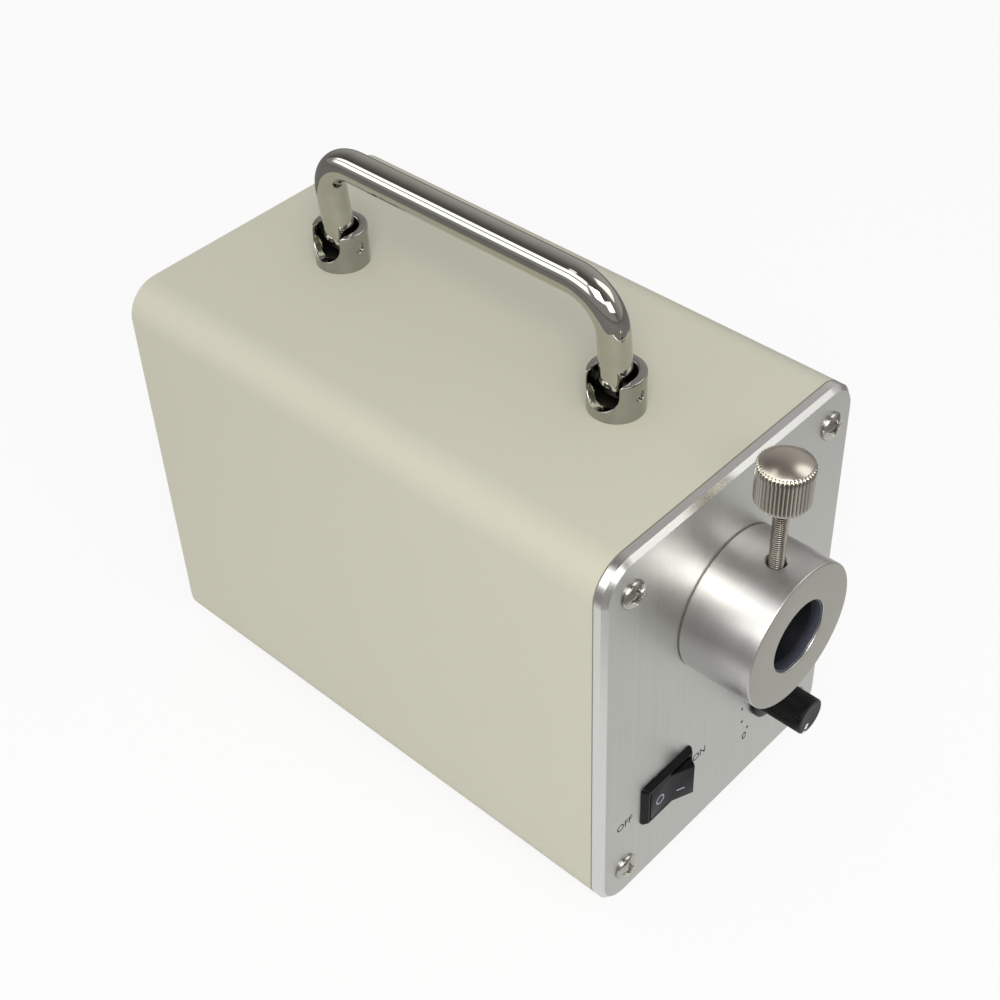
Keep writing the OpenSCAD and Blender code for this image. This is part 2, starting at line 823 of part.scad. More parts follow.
module at_bracket_screws() {
    for (sx = [-1, 1]) translate([sx * (sink_w / 2 - sink_screw_in), bracket_y + bracket_foot / 2, 0]) children();
}

// Heat sink bracket: an upright wall with a window for the light source, on a foot
module heat_sink_bracket() {
    half = sink_w / 2 + bracket_over;
    color([0.7, 0.71, 0.72]) in_frame() difference() {
        union() {
            box(-half, half, bracket_y, sink_y, chassis_top, port_z + sink_h / 2 + bracket_over);
            box(-half, half, bracket_y, bracket_y + bracket_foot, chassis_top, chassis_top + bracket_t);
        }
        rod_y(window_r, bracket_y - over, sink_y + over, 0, port_z);
        rod_y(wire_hole_r, bracket_y - over, sink_y + over, 0, wire_hole_z);
        at_sink_screws() rod_y(m3_r + fit_gap, bracket_y - over, sink_y + over, 0, 0);
        at_barrel_screws() rod_y(m3_r + fit_gap, bracket_y - over, sink_y + over, 0, 0);
        at_bracket_screws() rod_z(m3_r + fit_gap, chassis_top - over, chassis_top + bracket_t + over, 0, 0);
    }
}

module heat_sink_screws() {
    color([0.75, 0.75, 0.74]) in_frame() at_sink_screws() translate([0, bracket_y, 0])
        rotate([-90, 0, 0]) pan_screw(m3_r, bracket_t + sink_base - over, m3_head_r, m3_head_h);
}

module bracket_screws() {
    color([0.75, 0.75, 0.74]) in_frame() at_bracket_screws() translate([0, 0, chassis_top + bracket_t])
        rotate([180, 0, 0]) pan_screw(m3_r, bracket_t + plate_t, m3_head_r, m3_head_h);
}

// Fan: a square frame with a ducted bore, a hub on four struts, a stator and a bladed rotor
module fan_frame() {
    hub_y = body_d - hub_t;
    color([0.09, 0.09, 0.09]) in_frame() difference() {
        union() {
            difference() {
                translate([0, 0, port_z]) drawn_y(fan_y, body_d) round_rect(fan_size, fan_size, fan_hole_in);
                rod_y(duct_r, fan_y - over, body_d + over, 0, port_z);
            }
            rod_y(hub_r, hub_y, body_d, 0, port_z);
            for (a = [0, 90])
                translate([0, 0, port_z]) rotate([0, a + 45, 0])
                    box(-duct_r - over, duct_r + over, hub_y, body_d, -strut_w / 2, strut_w / 2);
            rod_y(post_r, fan_y + fan_t / 2, body_d, 0, port_z);
        }
        rod_y(pin_r + fit_gap, fan_y, hub_y, 0, port_z);
        at_fan_screws() rod_y(m4_r + fit_gap, fan_y - over, body_d + over, 0, 0);
    }
}

module fan_stator() {
    rotor_in = hub_r - rotor_wall;
    color([0.72, 0.4, 0.2]) in_frame() ring_y(post_r + fit_gap, rotor_in - rotor_gap,
        fan_y + fan_t / 2, body_d - hub_t - rotor_gap);
}

module fan_rotor() {
    front_y = fan_y + rotor_gap;
    back_y = body_d - hub_t - rotor_gap;
    tip_r = duct_r - rotor_gap;
    blade_mid = (front_y + back_y) / 2;
    color([0.12, 0.12, 0.12]) in_frame() {
        turned_y(0, port_z) polygon([
            [0, front_y],
            [hub_r, front_y],
            [hub_r, back_y],
            [hub_r - rotor_wall, back_y],
            [hub_r - rotor_wall, front_y + 2 * rotor_wall],
            [pin_r, front_y + 2 * rotor_wall],
            [pin_r, back_y],
            [0, back_y]
        ]);
        for (i = [0:blade_count - 1])
            intersection() {
                translate([0, 0, port_z]) rotate([0, i * 360 / blade_count, 0])
                    translate([0, blade_mid, 0]) rotate([blade_tilt, 0, 0])
                        box(hub_r - rotor_wall / 2, duct_r, -fan_t, fan_t, -blade_t / 2, blade_t / 2);
                ring_y(hub_r - rotor_wall / 2, tip_r, front_y, back_y);
            }
    }
}

module fan_screws() {
    color([0.75, 0.75, 0.74]) in_frame() at_fan_screws() translate([0, rear_y, 0])
        rotate([90, 0, 0]) pan_screw(m4_r, fan_screw_len, m4_head_r, m4_head_h);
}

// Driver: a circuit board on four standoffs, with a transformer, capacitors and two terminal blocks
module at_standoffs() {
    for (sx = [-1, 1], y = [board_y + board_in, board_y + board_len - board_in])
        translate([sx * (board_w / 2 - board_in), y, 0]) children();
}

module driver_board() {
    color([0.1, 0.35, 0.2]) in_frame() difference() {
        box(-board_w / 2, board_w / 2, board_y, board_y + board_len, board_z, board_top);
        at_standoffs() rod_z(m3_r + fit_gap, board_z - over, board_top + over, 0, 0);
    }
}

module board_standoffs() {
    color([0.78, 0.66, 0.35]) in_frame() at_standoffs() difference() {
        rod_z(standoff_r, chassis_top, board_z, 0, 0);
        rod_z(m3_r + fit_gap, chassis_top - over, board_z + over, 0, 0);
    }
}

module board_screws() {
    color([0.75, 0.75, 0.74]) in_frame() at_standoffs() translate([0, 0, board_top])
        rotate([180, 0, 0]) pan_screw(m3_r, board_t + standoff_h + plate_t, m3_head_r, m3_head_h);
}

module driver_transformer() {
    mid_y = board_y + board_len / 2;
    color([0.85, 0.75, 0.3]) in_frame() {
        box(-core_w / 2, core_w / 2, mid_y - core_d / 2, mid_y + core_d / 2, board_top, board_top + core_h);
        box(-core_w / 2 + coil_out, core_w / 2 - coil_out, mid_y - core_d / 2 - coil_out,
            mid_y + core_d / 2 + coil_out, board_top, board_top + core_h - coil_out);
    }
}

module driver_capacitors() {
    side = core_w / 2 + cap_r + cap_gap / 2;
    mid_y = board_y + board_len / 2;
    color([0.12, 0.16, 0.35]) in_frame()
        for (sx = [-1, 1], sy = [-1, 1])
            rod_z(cap_r, board_top, board_top + cap_h, sx * side, mid_y + sy * (cap_r + cap_gap / 2));
}

module driver_terminals() {
    color([0.15, 0.45, 0.25]) in_frame()
        for (y = [board_y, board_y + board_len - block_d]) difference() {
            box(-block_w / 2, block_w / 2, y, y + block_d, board_top, board_top + block_h);
            for (sx = [-1, 1])
                box(sx * block_w / 4 - block_hole / 2, sx * block_w / 4 + block_hole / 2,
                    y < board_y + over ? y - over : y + block_d / 2,
                    y < board_y + over ? y + block_d / 2 : y + block_d + over,
                    board_top + block_hole / 2, board_top + block_hole + block_hole / 2);
        }
}

// Power inlet: a flanged socket with three blades over a bay for the fuse drawer
module socket_outline(extra) {
    half_w = socket_w / 2 + extra;
    half_h = socket_h / 2 + extra;
    polygon([
        [-half_w, -half_h],
        [half_w, -half_h],
        [half_w, half_h - socket_chamfer],
        [half_w - socket_chamfer, half_h],
        [socket_chamfer - half_w, half_h],
        [-half_w, half_h - socket_chamfer]
    ]);
}

module at_inlet_pins() {
    for (p = [[-inlet_pin_side, -inlet_pin_up], [0, inlet_pin_up], [inlet_pin_side, -inlet_pin_up]])
        translate([p[0], 0, inlet_z + socket_up + p[1]]) children();
}

flange_y = rear_y + inlet_flange_t;
inlet_back_y = rear_y - inlet_depth;
socket_floor_y = flange_y - socket_depth;
drawer_z = inlet_z - drawer_down;

module power_inlet() {
    color([0.07, 0.07, 0.07]) in_frame() difference() {
        union() {
            translate([0, 0, inlet_z]) drawn_y(rear_y, flange_y) round_rect(inlet_w, inlet_h, bezel_r);
            box(-inlet_body_w / 2, inlet_body_w / 2, inlet_back_y, rear_y,
                inlet_z - inlet_body_h / 2, inlet_z + inlet_body_h / 2);
        }
        translate([0, 0, inlet_z + socket_up]) drawn_y(socket_floor_y, flange_y + over) socket_outline(0);
        at_inlet_pins() box(-inlet_pin_w / 2 - press_gap, inlet_pin_w / 2 + press_gap, inlet_back_y - over,
            socket_floor_y + over, -inlet_pin_h / 2 - press_gap, inlet_pin_h / 2 + press_gap);
        box(-drawer_w / 2 - air_gap, drawer_w / 2 + air_gap, flange_y - drawer_len, flange_y + over,
            drawer_z - drawer_h / 2 - air_gap, drawer_z + drawer_h / 2 + air_gap);
        at_inlet_screws() rod_y(m3_r + fit_gap, body_d, flange_y + over, 0, 0);
    }
}

module inlet_pins() {
    color([0.8, 0.78, 0.7]) in_frame() at_inlet_pins()
        box(-inlet_pin_w / 2, inlet_pin_w / 2, inlet_back_y - inlet_tab_len, socket_floor_y + inlet_pin_len,
            -inlet_pin_h / 2, inlet_pin_h / 2);
}

module inlet_screws() {
    color([0.75, 0.75, 0.74]) in_frame() at_inlet_screws() translate([0, flange_y, 0])
        rotate([90, 0, 0]) pan_screw(m3_r, inlet_screw_len, m3_head_r, m3_head_h);
}

// Fuse drawer: a tray with a grip on its face, and the fuse lying in it
module fuse_drawer() {
    color([0.07, 0.07, 0.07]) in_frame() difference() {
        union() {
            box(-drawer_w / 2, drawer_w / 2, flange_y - drawer_len + air_gap, flange_y + drawer_face_t,
                drawer_z - drawer_h / 2, drawer_z + drawer_h / 2);
            box(-drawer_w / 2 - drawer_lip, drawer_w / 2 + drawer_lip, flange_y, flange_y + drawer_face_t,
                drawer_z - drawer_h / 2 - drawer_lip, drawer_z + drawer_h / 2 + drawer_lip);
        }
        rod_y(fuse_r + fit_gap, flange_y - fuse_len - fit_gap, flange_y, 0, drawer_z);
        box(-fuse_r - fit_gap, fuse_r + fit_gap, flange_y - fuse_len - fit_gap, flange_y,
            drawer_z, drawer_z + drawer_h);
        box(-drawer_grip, drawer_grip, flange_y + drawer_face_t / 2, flange_y + drawer_face_t + over,
            drawer_z - drawer_lip, drawer_z + drawer_lip);
    }
}

module fuse() {
    color([0.85, 0.88, 0.9]) in_frame() rod_y(fuse_r, flange_y - fuse_len, flange_y - fit_gap, 0, drawer_z);
}

// Switch: a bezel and body with a well, and a rocker that turns on two trunnions
module switch_body() {
    well_w = 2 * (rocker_r + well_gap);
    well_h = rocker_h + 2 * well_gap;
    front_y = -panel_t - bezel_t;
    color([0.05, 0.05, 0.05]) in_frame() translate([-switch_x, 0, switch_z]) difference() {
        union() {
            translate([0, -panel_t, 0]) rotate([90, 0, 0])
                bevel_plate(bezel_w, bezel_h, bezel_r, bezel_t, bezel_bevel);
            box(-switch_body_w / 2, switch_body_w / 2, -panel_t, switch_depth - panel_t,
                -switch_body_h / 2, switch_body_h / 2);
        }
        box(-well_w / 2, well_w / 2, front_y - over, front_y + well_depth, -well_h / 2, well_h / 2);
        rod_z(trunnion_r + fit_gap, -rocker_h / 2 - trunnion_len - fit_gap,
            rocker_h / 2 + trunnion_len + fit_gap, 0, switch_y);
        for (sx = [-1, 1])
            box(sx * switch_tab_apart / 2 - switch_tab_t / 2 - press_gap,
                sx * switch_tab_apart / 2 + switch_tab_t / 2 + press_gap,
                front_y + well_depth - over, switch_depth,
                -switch_tab_w / 2 - press_gap, switch_tab_w / 2 + press_gap);
    }
}

// The rocker's outline across its pivot, with the OFF half pressed in
module rocker_outline() {
    rotate(-rocker_tilt) intersection() {
        circle(r = rocker_r);
        polygon([
            [-rocker_r, rocker_skirt],
            [rocker_r, rocker_skirt],
            [rocker_r, -rocker_face - rocker_r * tan(rocker_tilt)],
            [0, -rocker_face],
            [-rocker_r, -rocker_face - rocker_r * tan(rocker_tilt)]
        ]);
    }
}

module switch_rocker() {
    color([0.03, 0.03, 0.03]) in_frame() translate([-switch_x, switch_y, switch_z]) {
        translate([0, 0, -rocker_h / 2]) linear_extrude(rocker_h) rocker_outline();
        rod_z(trunnion_r, -rocker_h / 2 - trunnion_len, rocker_h / 2 + trunnion_len, 0, 0);
    }
}

module switch_terminals() {
    well_floor_y = -panel_t - bezel_t + well_depth;
    color([0.8, 0.78, 0.7]) in_frame() translate([-switch_x, 0, switch_z])
        for (sx = [-1, 1])
            box(sx * switch_tab_apart / 2 - switch_tab_t / 2, sx * switch_tab_apart / 2 + switch_tab_t / 2,
                well_floor_y, switch_depth - panel_t + switch_tab_len, -switch_tab_w / 2, switch_tab_w / 2);
}

// Dimmer: a potentiometer behind the panel, its nut sunk in the panel, and a skirted knob
bushing_end_y = -panel_t + air_gap;
module dimmer_pot_body() {
    color([0.75, 0.72, 0.62]) in_frame() translate([dimmer_x, 0, dimmer_z]) difference() {
        union() {
            rod_y(pot_r, 0, pot_len, 0, 0);
            rod_y(bushing_r, bushing_end_y, over, 0, 0);
        }
        rod_y(shaft_r + fit_gap, bushing_end_y - over, pot_wall + over, 0, 0);
        rod_y(pot_r - pot_wall, pot_wall, pot_len - pot_wall, 0, 0);
    }
}

module dimmer_shaft() {
    end_y = -panel_t - knob_len + knob_crown;
    color([0.75, 0.75, 0.74]) in_frame() translate([dimmer_x, 0, dimmer_z]) {
        rod_y(shaft_r, end_y, wiper_y, 0, 0);
        rod_y(wiper_r, wiper_y, wiper_y + wiper_t, 0, 0);
    }
}

recess_floor_y = nut_recess - panel_t;
module dimmer_pot_washer() {
    color([0.75, 0.75, 0.74]) in_frame() translate([dimmer_x, 0, dimmer_z]) difference() {
        rod_y(washer_r, recess_floor_y - washer_t, recess_floor_y, 0, 0);
        rod_y(bushing_r + fit_gap, recess_floor_y - washer_t - over, recess_floor_y + over, 0, 0);
    }
}

module dimmer_pot_nut() {
    nut_y = recess_floor_y - washer_t;
    color([0.75, 0.75, 0.74]) in_frame() translate([dimmer_x, nut_y, dimmer_z]) difference() {
        rotate([90, 0, 0]) cylinder(d = nut_across / cos(30), h = nut_t, $fn = 6);
        rod_y(bushing_r + fit_gap, -nut_t - over, over, 0, 0);
    }
}

module dimmer_pot_terminals() {
    color([0.8, 0.78, 0.7]) in_frame() translate([dimmer_x, 0, dimmer_z])
        for (i = [-1:1])
            box(i * pot_tab_pitch - pot_tab_w / 2, i * pot_tab_pitch + pot_tab_w / 2,
                pot_len, pot_len + pot_tab_len, -pot_tab_t / 2, pot_tab_t / 2);
}

module dimmer_knob() {
    back_y = -panel_t - air_gap;
    front_y = -panel_t - knob_len;
    knob_r = knob_d / 2;
    bore_r = shaft_r + press_gap;
    shaft_end_y = front_y + knob_crown;
    color([0.04, 0.04, 0.04]) in_frame() turned_y(dimmer_x, dimmer_z) polygon([
        [bore_r, back_y],
        [knob_skirt_d / 2, back_y],
        [knob_skirt_d / 2, back_y - skirt_t],
        [knob_r, back_y - skirt_t],
        [knob_r, front_y + knob_edge],
        [knob_r - knob_edge, front_y],
        [0, front_y],
        [0, shaft_end_y - press_gap],
        [bore_r, shaft_end_y - press_gap]
    ]);
}

// Handle: a bent bar whose ends are flattened to tongues, each tongue turning on a pin inside its boss
module handle_leg() {
    bar_r = handle_bar_d / 2;
    intersection() {
        cylinder(r1 = tongue_r - tongue_inset, r2 = bar_r, h = shoulder_up);
        box(-bar_r, bar_r, -tongue_half, tongue_half, 0, shoulder_up);
    }
    rod_y(tongue_r, -tongue_half, tongue_half, 0, 0);
    rod_z(bar_r, shoulder_up, handle_rise - handle_bend_r + join, 0, 0);
}

module handle_bar() {
    color([0.8, 0.8, 0.82]) in_frame() translate([0, 0, pivot_z]) rotate([0, -handle_lean, 0]) difference() {
        union() {
            for (y = [handle_y1, handle_y2]) translate([0, y, 0]) handle_leg();
            translate([0, handle_y1 + handle_bend_r, handle_rise - handle_bend_r]) rotate([0, -90, 0])
                rotate([0, 0, -90]) rotate_extrude(angle = 90) translate([handle_bend_r, 0])
                    circle(r = handle_bar_d / 2);
            translate([0, handle_y2 - handle_bend_r, handle_rise - handle_bend_r]) rotate([0, -90, 0])
                rotate_extrude(angle = 90) translate([handle_bend_r, 0]) circle(r = handle_bar_d / 2);
            rod_y(handle_bar_d / 2, handle_y1 + handle_bend_r - join, handle_y2 - handle_bend_r + join, 0,
                handle_rise);
        }
        for (y = [handle_y1, handle_y2]) rod_y(handle_pin_r + fit_gap, y - tongue_half - over, y + tongue_half + over, 0, 0);
    }
}

// A handle boss on the sleeve: a cup with a slot on its left for the leg to fold through
module handle_boss(y) {
    slot_z = boss_floor + boss_bore_r;
    translate([0, y, body_h]) difference() {
        union() {
            cylinder(r = boss_d / 2, h = boss_h - boss_edge);
            translate([0, 0, boss_h - boss_edge]) cylinder(r1 = boss_d / 2, r2 = boss_d / 2 - boss_edge, h = boss_edge);
        }
        rod_z(boss_bore_r, boss_floor, boss_h + over, 0, 0);
        rod_x(boss_bore_r, -boss_d, 0, 0, slot_z);
        box(-boss_d, 0, -boss_bore_r, boss_bore_r, slot_z, boss_h + over);
        rod_y(handle_pin_r + fit_gap, -boss_d, boss_d, 0, pivot_up);
        rod_z(m4_r + fit_gap, -over, boss_floor + over, 0, 0);
    }
}

module handle_boss_front() {
    color([0.74, 0.74, 0.76]) in_frame() handle_boss(handle_y1);
}

module handle_boss_rear() {
    color([0.74, 0.74, 0.76]) in_frame() handle_boss(handle_y2);
}

module handle_pins() {
    half = boss_d / 2 - pin_recess;
    color([0.8, 0.8, 0.82]) in_frame()
        for (y = [handle_y1, handle_y2]) rod_y(handle_pin_r, y - half, y + half, 0, pivot_z);
}

module boss_screws() {
    color([0.75, 0.75, 0.74]) in_frame()
        for (y = [handle_y1, handle_y2]) translate([0, y, body_h - wall_t])
            pan_screw(m4_r, boss_screw_len, m4_head_r, m4_head_h);
}

// Mains wires: inlet to switch along the left channel, switch to driver, and inlet to driver
module mains_wires() {
    tab_y = inlet_back_y - inlet_tab_len;
    pin_z = inlet_z + socket_up - inlet_pin_up;
    block_z = board_top + block_hole;
    block_y = board_y + board_len;
    switch_tab_y = switch_depth - panel_t + switch_tab_len;
    tab_x = switch_tab_apart / 2;
    low_z = chassis_top + 2 * mains_r;
    color([0.35, 0.2, 0.1]) in_frame() {
        wire([[-inlet_pin_side, tab_y, pin_z], [-inlet_pin_side, tab_y - 2 * mains_r, pin_z],
            [-channel_x, tab_y - 4 * mains_r, pin_z], [-channel_x, switch_tab_y + 4 * mains_r, pin_z],
            [-switch_x - tab_x, switch_tab_y + 2 * mains_r, switch_z],
            [-switch_x - tab_x, switch_tab_y, switch_z]], mains_r);
        wire([[-switch_x + tab_x, switch_tab_y, switch_z], [-switch_x + tab_x, switch_tab_y + 2 * mains_r, switch_z],
            [-channel_x, switch_tab_y + 6 * mains_r, low_z], [-channel_x, block_y + 2 * mains_r, low_z],
            [-block_w / 4, block_y + 2 * mains_r, block_z], [-block_w / 4, block_y, block_z]], mains_r);
        wire([[inlet_pin_side, tab_y, pin_z], [inlet_pin_side, tab_y - 2 * mains_r, pin_z],
            [block_w / 4, block_y + 2 * mains_r, block_z], [block_w / 4, block_y, block_z]], mains_r);
    }
}

// Leads from the driver to the light source: through the bracket and the notch in the barrel's flange
module led_wires() {
    block_z = board_top + block_hole;
    notch_z = port_z - barrel_in_r - barrel_wall / 2;
    front_y = bracket_y - 2 * lead_r - air_gap;
    pad_y = sink_y - led_board_t - lead_r - wire_bead;
    color([0.75, 0.15, 0.1]) in_frame()
        for (sx = [-1, 1])
            wire([[sx * block_w / 4, board_y, block_z], [sx * block_w / 4, board_y - 4 * lead_r, block_z],
                [sx * 2 * lead_r, sink_y + 2 * lead_r, wire_hole_z], [sx * 2 * lead_r, front_y, wire_hole_z],
                [sx * 2 * lead_r, front_y, notch_z], [sx * 2 * lead_r, pad_y, port_z - led_board_r + 2 * lead_r],
                [sx * 2 * lead_r, pad_y, port_z - emitter_w / 2 - lead_r]], lead_r);
}

// Leads from the dimmer to the driver, along the right channel
module dimmer_wires() {
    tab_y = pot_len + pot_tab_len;
    color([0.9, 0.9, 0.88]) in_frame()
        for (i = [-1:1])
            wire([[dimmer_x + i * pot_tab_pitch, tab_y, dimmer_z],
                [dimmer_x + i * pot_tab_pitch, tab_y + 2 * lead_r, dimmer_z],
                [channel_x + i * 3 * lead_r, tab_y + 8 * lead_r, dimmer_z],
                [channel_x + i * 3 * lead_r, board_y + board_len / 2 + i * 4 * lead_r, dimmer_z],
                [board_w / 2, board_y + board_len / 2 + i * 4 * lead_r, board_top + lead_r]], lead_r);
}

// Leads from the fan to the driver
module fan_wires() {
    end_z = port_z - fan_size / 2;
    block_y = board_y + board_len - block_d / 2;
    color([0.15, 0.15, 0.15]) in_frame()
        for (sx = [0, 1])
            wire([[channel_x / 2 + sx * 3 * lead_r, fan_y + lead_r, end_z - lead_r],
                [channel_x / 2 + sx * 3 * lead_r, fan_y + lead_r, end_z - 4 * lead_r],
                [block_w / 2 + (2 + sx * 3) * lead_r, block_y, board_top + 4 * lead_r],
                [block_w / 2 + (2 + sx * 3) * lead_r, block_y, board_top]], lead_r);
}

housing_sleeve();
front_panel();
rear_panel();
front_panel_screws();
rear_panel_screws();
chassis_plate();
rubber_feet();
foot_screws();
light_port();
port_liner();
port_screws();
thumb_screw();
thumb_screw_tip();
lens_barrel();
condenser_lens_front();
lens_spacer();
condenser_lens_rear();
lens_retaining_ring();
barrel_screws();
led_board();
led_emitter();
led_board_screws();
heat_sink();
heat_sink_bracket();
heat_sink_screws();
bracket_screws();
fan_frame();
fan_stator();
fan_rotor();
fan_screws();
driver_board();
board_standoffs();
board_screws();
driver_transformer();
driver_capacitors();
driver_terminals();
power_inlet();
inlet_pins();
inlet_screws();
fuse_drawer();
fuse();
switch_body();
switch_rocker();
switch_terminals();
dimmer_pot_body();
dimmer_shaft();
dimmer_pot_washer();
dimmer_pot_nut();
dimmer_pot_terminals();
dimmer_knob();
handle_bar();
handle_boss_front();
handle_boss_rear();
handle_pins();
boss_screws();
mains_wires();
led_wires();
dimmer_wires();
fan_wires();
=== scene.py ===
"""The looks of the fiber optic illuminator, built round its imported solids.

Shapes are worked out in millimetres from the sleeve's front lower edge: X to the right as seen from the front,
Y to the rear, Z up. build() shifts them into the shared frame and turns them to metres.
"""

import math

import bmesh
import bpy
import numpy as np
from mathutils import Matrix, Vector


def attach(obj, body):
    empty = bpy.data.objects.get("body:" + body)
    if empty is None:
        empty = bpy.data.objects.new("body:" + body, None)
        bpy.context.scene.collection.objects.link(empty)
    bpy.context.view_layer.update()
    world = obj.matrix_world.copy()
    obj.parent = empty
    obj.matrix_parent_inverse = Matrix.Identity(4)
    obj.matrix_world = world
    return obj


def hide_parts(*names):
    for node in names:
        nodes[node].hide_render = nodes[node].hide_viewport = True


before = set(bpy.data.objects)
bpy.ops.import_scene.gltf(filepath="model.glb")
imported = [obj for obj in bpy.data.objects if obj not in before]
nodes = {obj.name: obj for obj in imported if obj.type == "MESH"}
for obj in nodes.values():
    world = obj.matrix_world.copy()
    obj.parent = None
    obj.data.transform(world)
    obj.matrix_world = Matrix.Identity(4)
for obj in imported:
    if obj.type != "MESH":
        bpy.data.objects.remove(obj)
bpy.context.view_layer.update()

# Where the sleeve's front lower edge lies in the shared frame, in millimetres
SLEEVE = np.array([0.0, -75.5, 4.0])
TURN = 2 * math.pi

# Sizes that the pieces share with the solids, in millimetres
PANEL_FACE = -3.5
CORNERS_X = (-40.0, 40.0)
CORNERS_Z = (11.5, 118.5)
PORT_Z = 87.0
PORT_FACE = -25.5
PORT_R = 21.0
THUMB_Y = -16.5
HEAD_Z = 128.0
THUMB_LOW = 96.9
SLEEVE_TOP = 130.0
PIVOT_Z = 136.9
HANDLE_Y = (35.0, 135.0)
HANDLE_RISE = 28.6
HANDLE_BEND = 12.0
HANDLE_LEAN = math.radians(5)
SWITCH_X, SWITCH_Z = -23.3, 31.2
DIMMER_X, DIMMER_Z = 23.7, 29.2

# The thumb screw's thread and flutes, and where in a turn the thread's root lies as its finish counts it
THREAD_PITCH = 0.7
FLUTES = 44
SCREW_PHASE = 2 / 7

# Printed marks: the ink's place and thickness, and the dots round the dimmer
INK_Y = PANEL_FACE - 0.012
INK_THICK = 0.03
SCALE_DOTS, SCALE_R, DOT_R = 11, 12.6, 0.5


# ---------------------------------------------------------------- shapes


def grid_faces(rows, cols, wrap_rows=False, wrap_cols=True):
    """Quads between the neighbours of a grid of rows by cols points, closed round each way that wraps."""
    a, b = np.meshgrid(np.arange(rows - (not wrap_rows)), np.arange(cols - (not wrap_cols)), indexing="ij")
    c, d = (a + 1) % rows, (b + 1) % cols
    return np.stack([a * cols + b, c * cols + b, c * cols + d, a * cols + d], -1).reshape(-1, 4)


def surface(points, wrap_rows=False, wrap_cols=True):
    """A grid of points, rows by cols by 3, with the quads between them."""
    rows, cols = points.shape[:2]
    return points.reshape(-1, 3), grid_faces(rows, cols, wrap_rows, wrap_cols)


def ease(x, low, high):
    """A smooth step: 0 below low, 1 above high, and 3 s squared less 2 s cubed between them."""
    s = np.clip((x - low) / (high - low), 0, 1)
    return s * s * (3 - 2 * s)


def rounded(points, radii, steps=6):
    """A line of points whose inner corners are rounded: each becomes the quadratic curve
    (1-t)^2 a + 2 t (1-t) corner + t^2 b, where a and b lie a radius away along its two sides."""
    points = np.asarray(points, float)
    t = np.linspace(0, 1, steps)[:, None]
    out = [points[:1]]
    for before, corner, after, r in zip(points, points[1:], points[2:], radii):
        if r:
            a = corner + (before - corner) / np.linalg.norm(before - corner) * r
            b = corner + (after - corner) / np.linalg.norm(after - corner) * r
            out.append((1 - t) ** 2 * a + 2 * t * (1 - t) * corner + t ** 2 * b)
        else:
            out.append(corner[None])
    return np.vstack(out + [points[-1:]])


def drilled(u, v, reach, wall, rings):
    """A drilled hole in a grid of points whose steps round it are even. A point whose larger offset m = max(|u|, |v|)
    is within the reach moves onto a ring: rings holds, from the centre out, each step's own radius and depth, and
    from the last of them to the reach the ring turns from a circle of radius m into the grid's square.
    Gives the new u, the new v and the depth below the skin."""
    m = np.maximum(np.abs(u), np.abs(v))
    far = np.hypot(u, v)
    way_u, way_v = u / np.maximum(far, 1e-9), v / np.maximum(far, 1e-9)
    square = np.clip((m - wall) / (reach - wall), 0, 1)
    steps = np.linspace(0, wall, len(rings))
    radius = np.where(m > wall + 1e-6, m, np.interp(m, steps, [r for r, _ in rings]))
    depth = np.where(m > wall + 1e-6, 0, np.interp(m, steps, [d for _, d in rings]))
    inside = m < reach
    new_u = np.where(inside, (1 - square) * way_u * radius + square * u, u)
    new_v = np.where(inside, (1 - square) * way_v * radius + square * v, v)
    return new_u, new_v, depth


def turned(profile, steps, ripple=None):
    """A profile of radius r and height h carried round Z: x = r cos t, y = r sin t, z = h.
    ripple(t, r, h) is taken off the radius."""
    t = np.linspace(0, TURN, steps, endpoint=False)
    r, h = (np.asarray(profile, float)[:, k, None] for k in (0, 1))
    radius = r - ripple(t, r, h) if ripple else r + 0 * t
    return surface(np.stack([radius * np.cos(t), radius * np.sin(t), h + 0 * t], -1))


def facing(part, way, place):
    """The part turned so that its Z looks forward, back, up or down, and moved to its place."""
    points, faces = part
    x, y, z = points.T
    spun = {"front": (x, -z, y), "back": (-x, z, y), "up": (x, y, z), "down": (x, -y, -z)}[way]
    return np.stack(spun, -1) + np.asarray(place, float), faces


def build(name, parts, finish, body, stands_for=(), crease=40):
    """One piece from its parts, each an array of points and one of faces: doubles merged, faces outwards,
    and smooth shading that keeps edges sharper than the crease."""
    points = np.vstack([p for p, _ in parts])
    starts = np.cumsum([0] + [len(p) for p, _ in parts])
    faces = [face for (_, f), s in zip(parts, starts) for face in (np.asarray(f) + s).tolist()]
    mesh = bpy.data.meshes.new(name)
    mesh.from_pydata(((points + SLEEVE) * 0.001).tolist(), [], faces)
    return dress(name, mesh, finish, body, stands_for, crease)


def dress(name, mesh, finish, body, stands_for=(), crease=40, merge=1e-6):
    """The piece round a mesh that is already in place."""
    bm = bmesh.new()
    bm.from_mesh(mesh)
    bmesh.ops.remove_doubles(bm, verts=bm.verts, dist=merge)
    bmesh.ops.dissolve_degenerate(bm, edges=bm.edges, dist=1e-7)
    bmesh.ops.recalc_face_normals(bm, faces=bm.faces)
    bm.to_mesh(mesh)
    bm.free()
    mesh.polygons.foreach_set("use_smooth", np.ones(len(mesh.polygons), bool))
    mesh.set_sharp_from_angle(angle=math.radians(crease))
    mesh.materials.clear()
    mesh.materials.append(finish)
    piece = bpy.data.objects.new(name, mesh)
    bpy.context.scene.collection.objects.link(piece)
    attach(piece, body)
    if stands_for:
        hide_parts(*stands_for)
    return piece


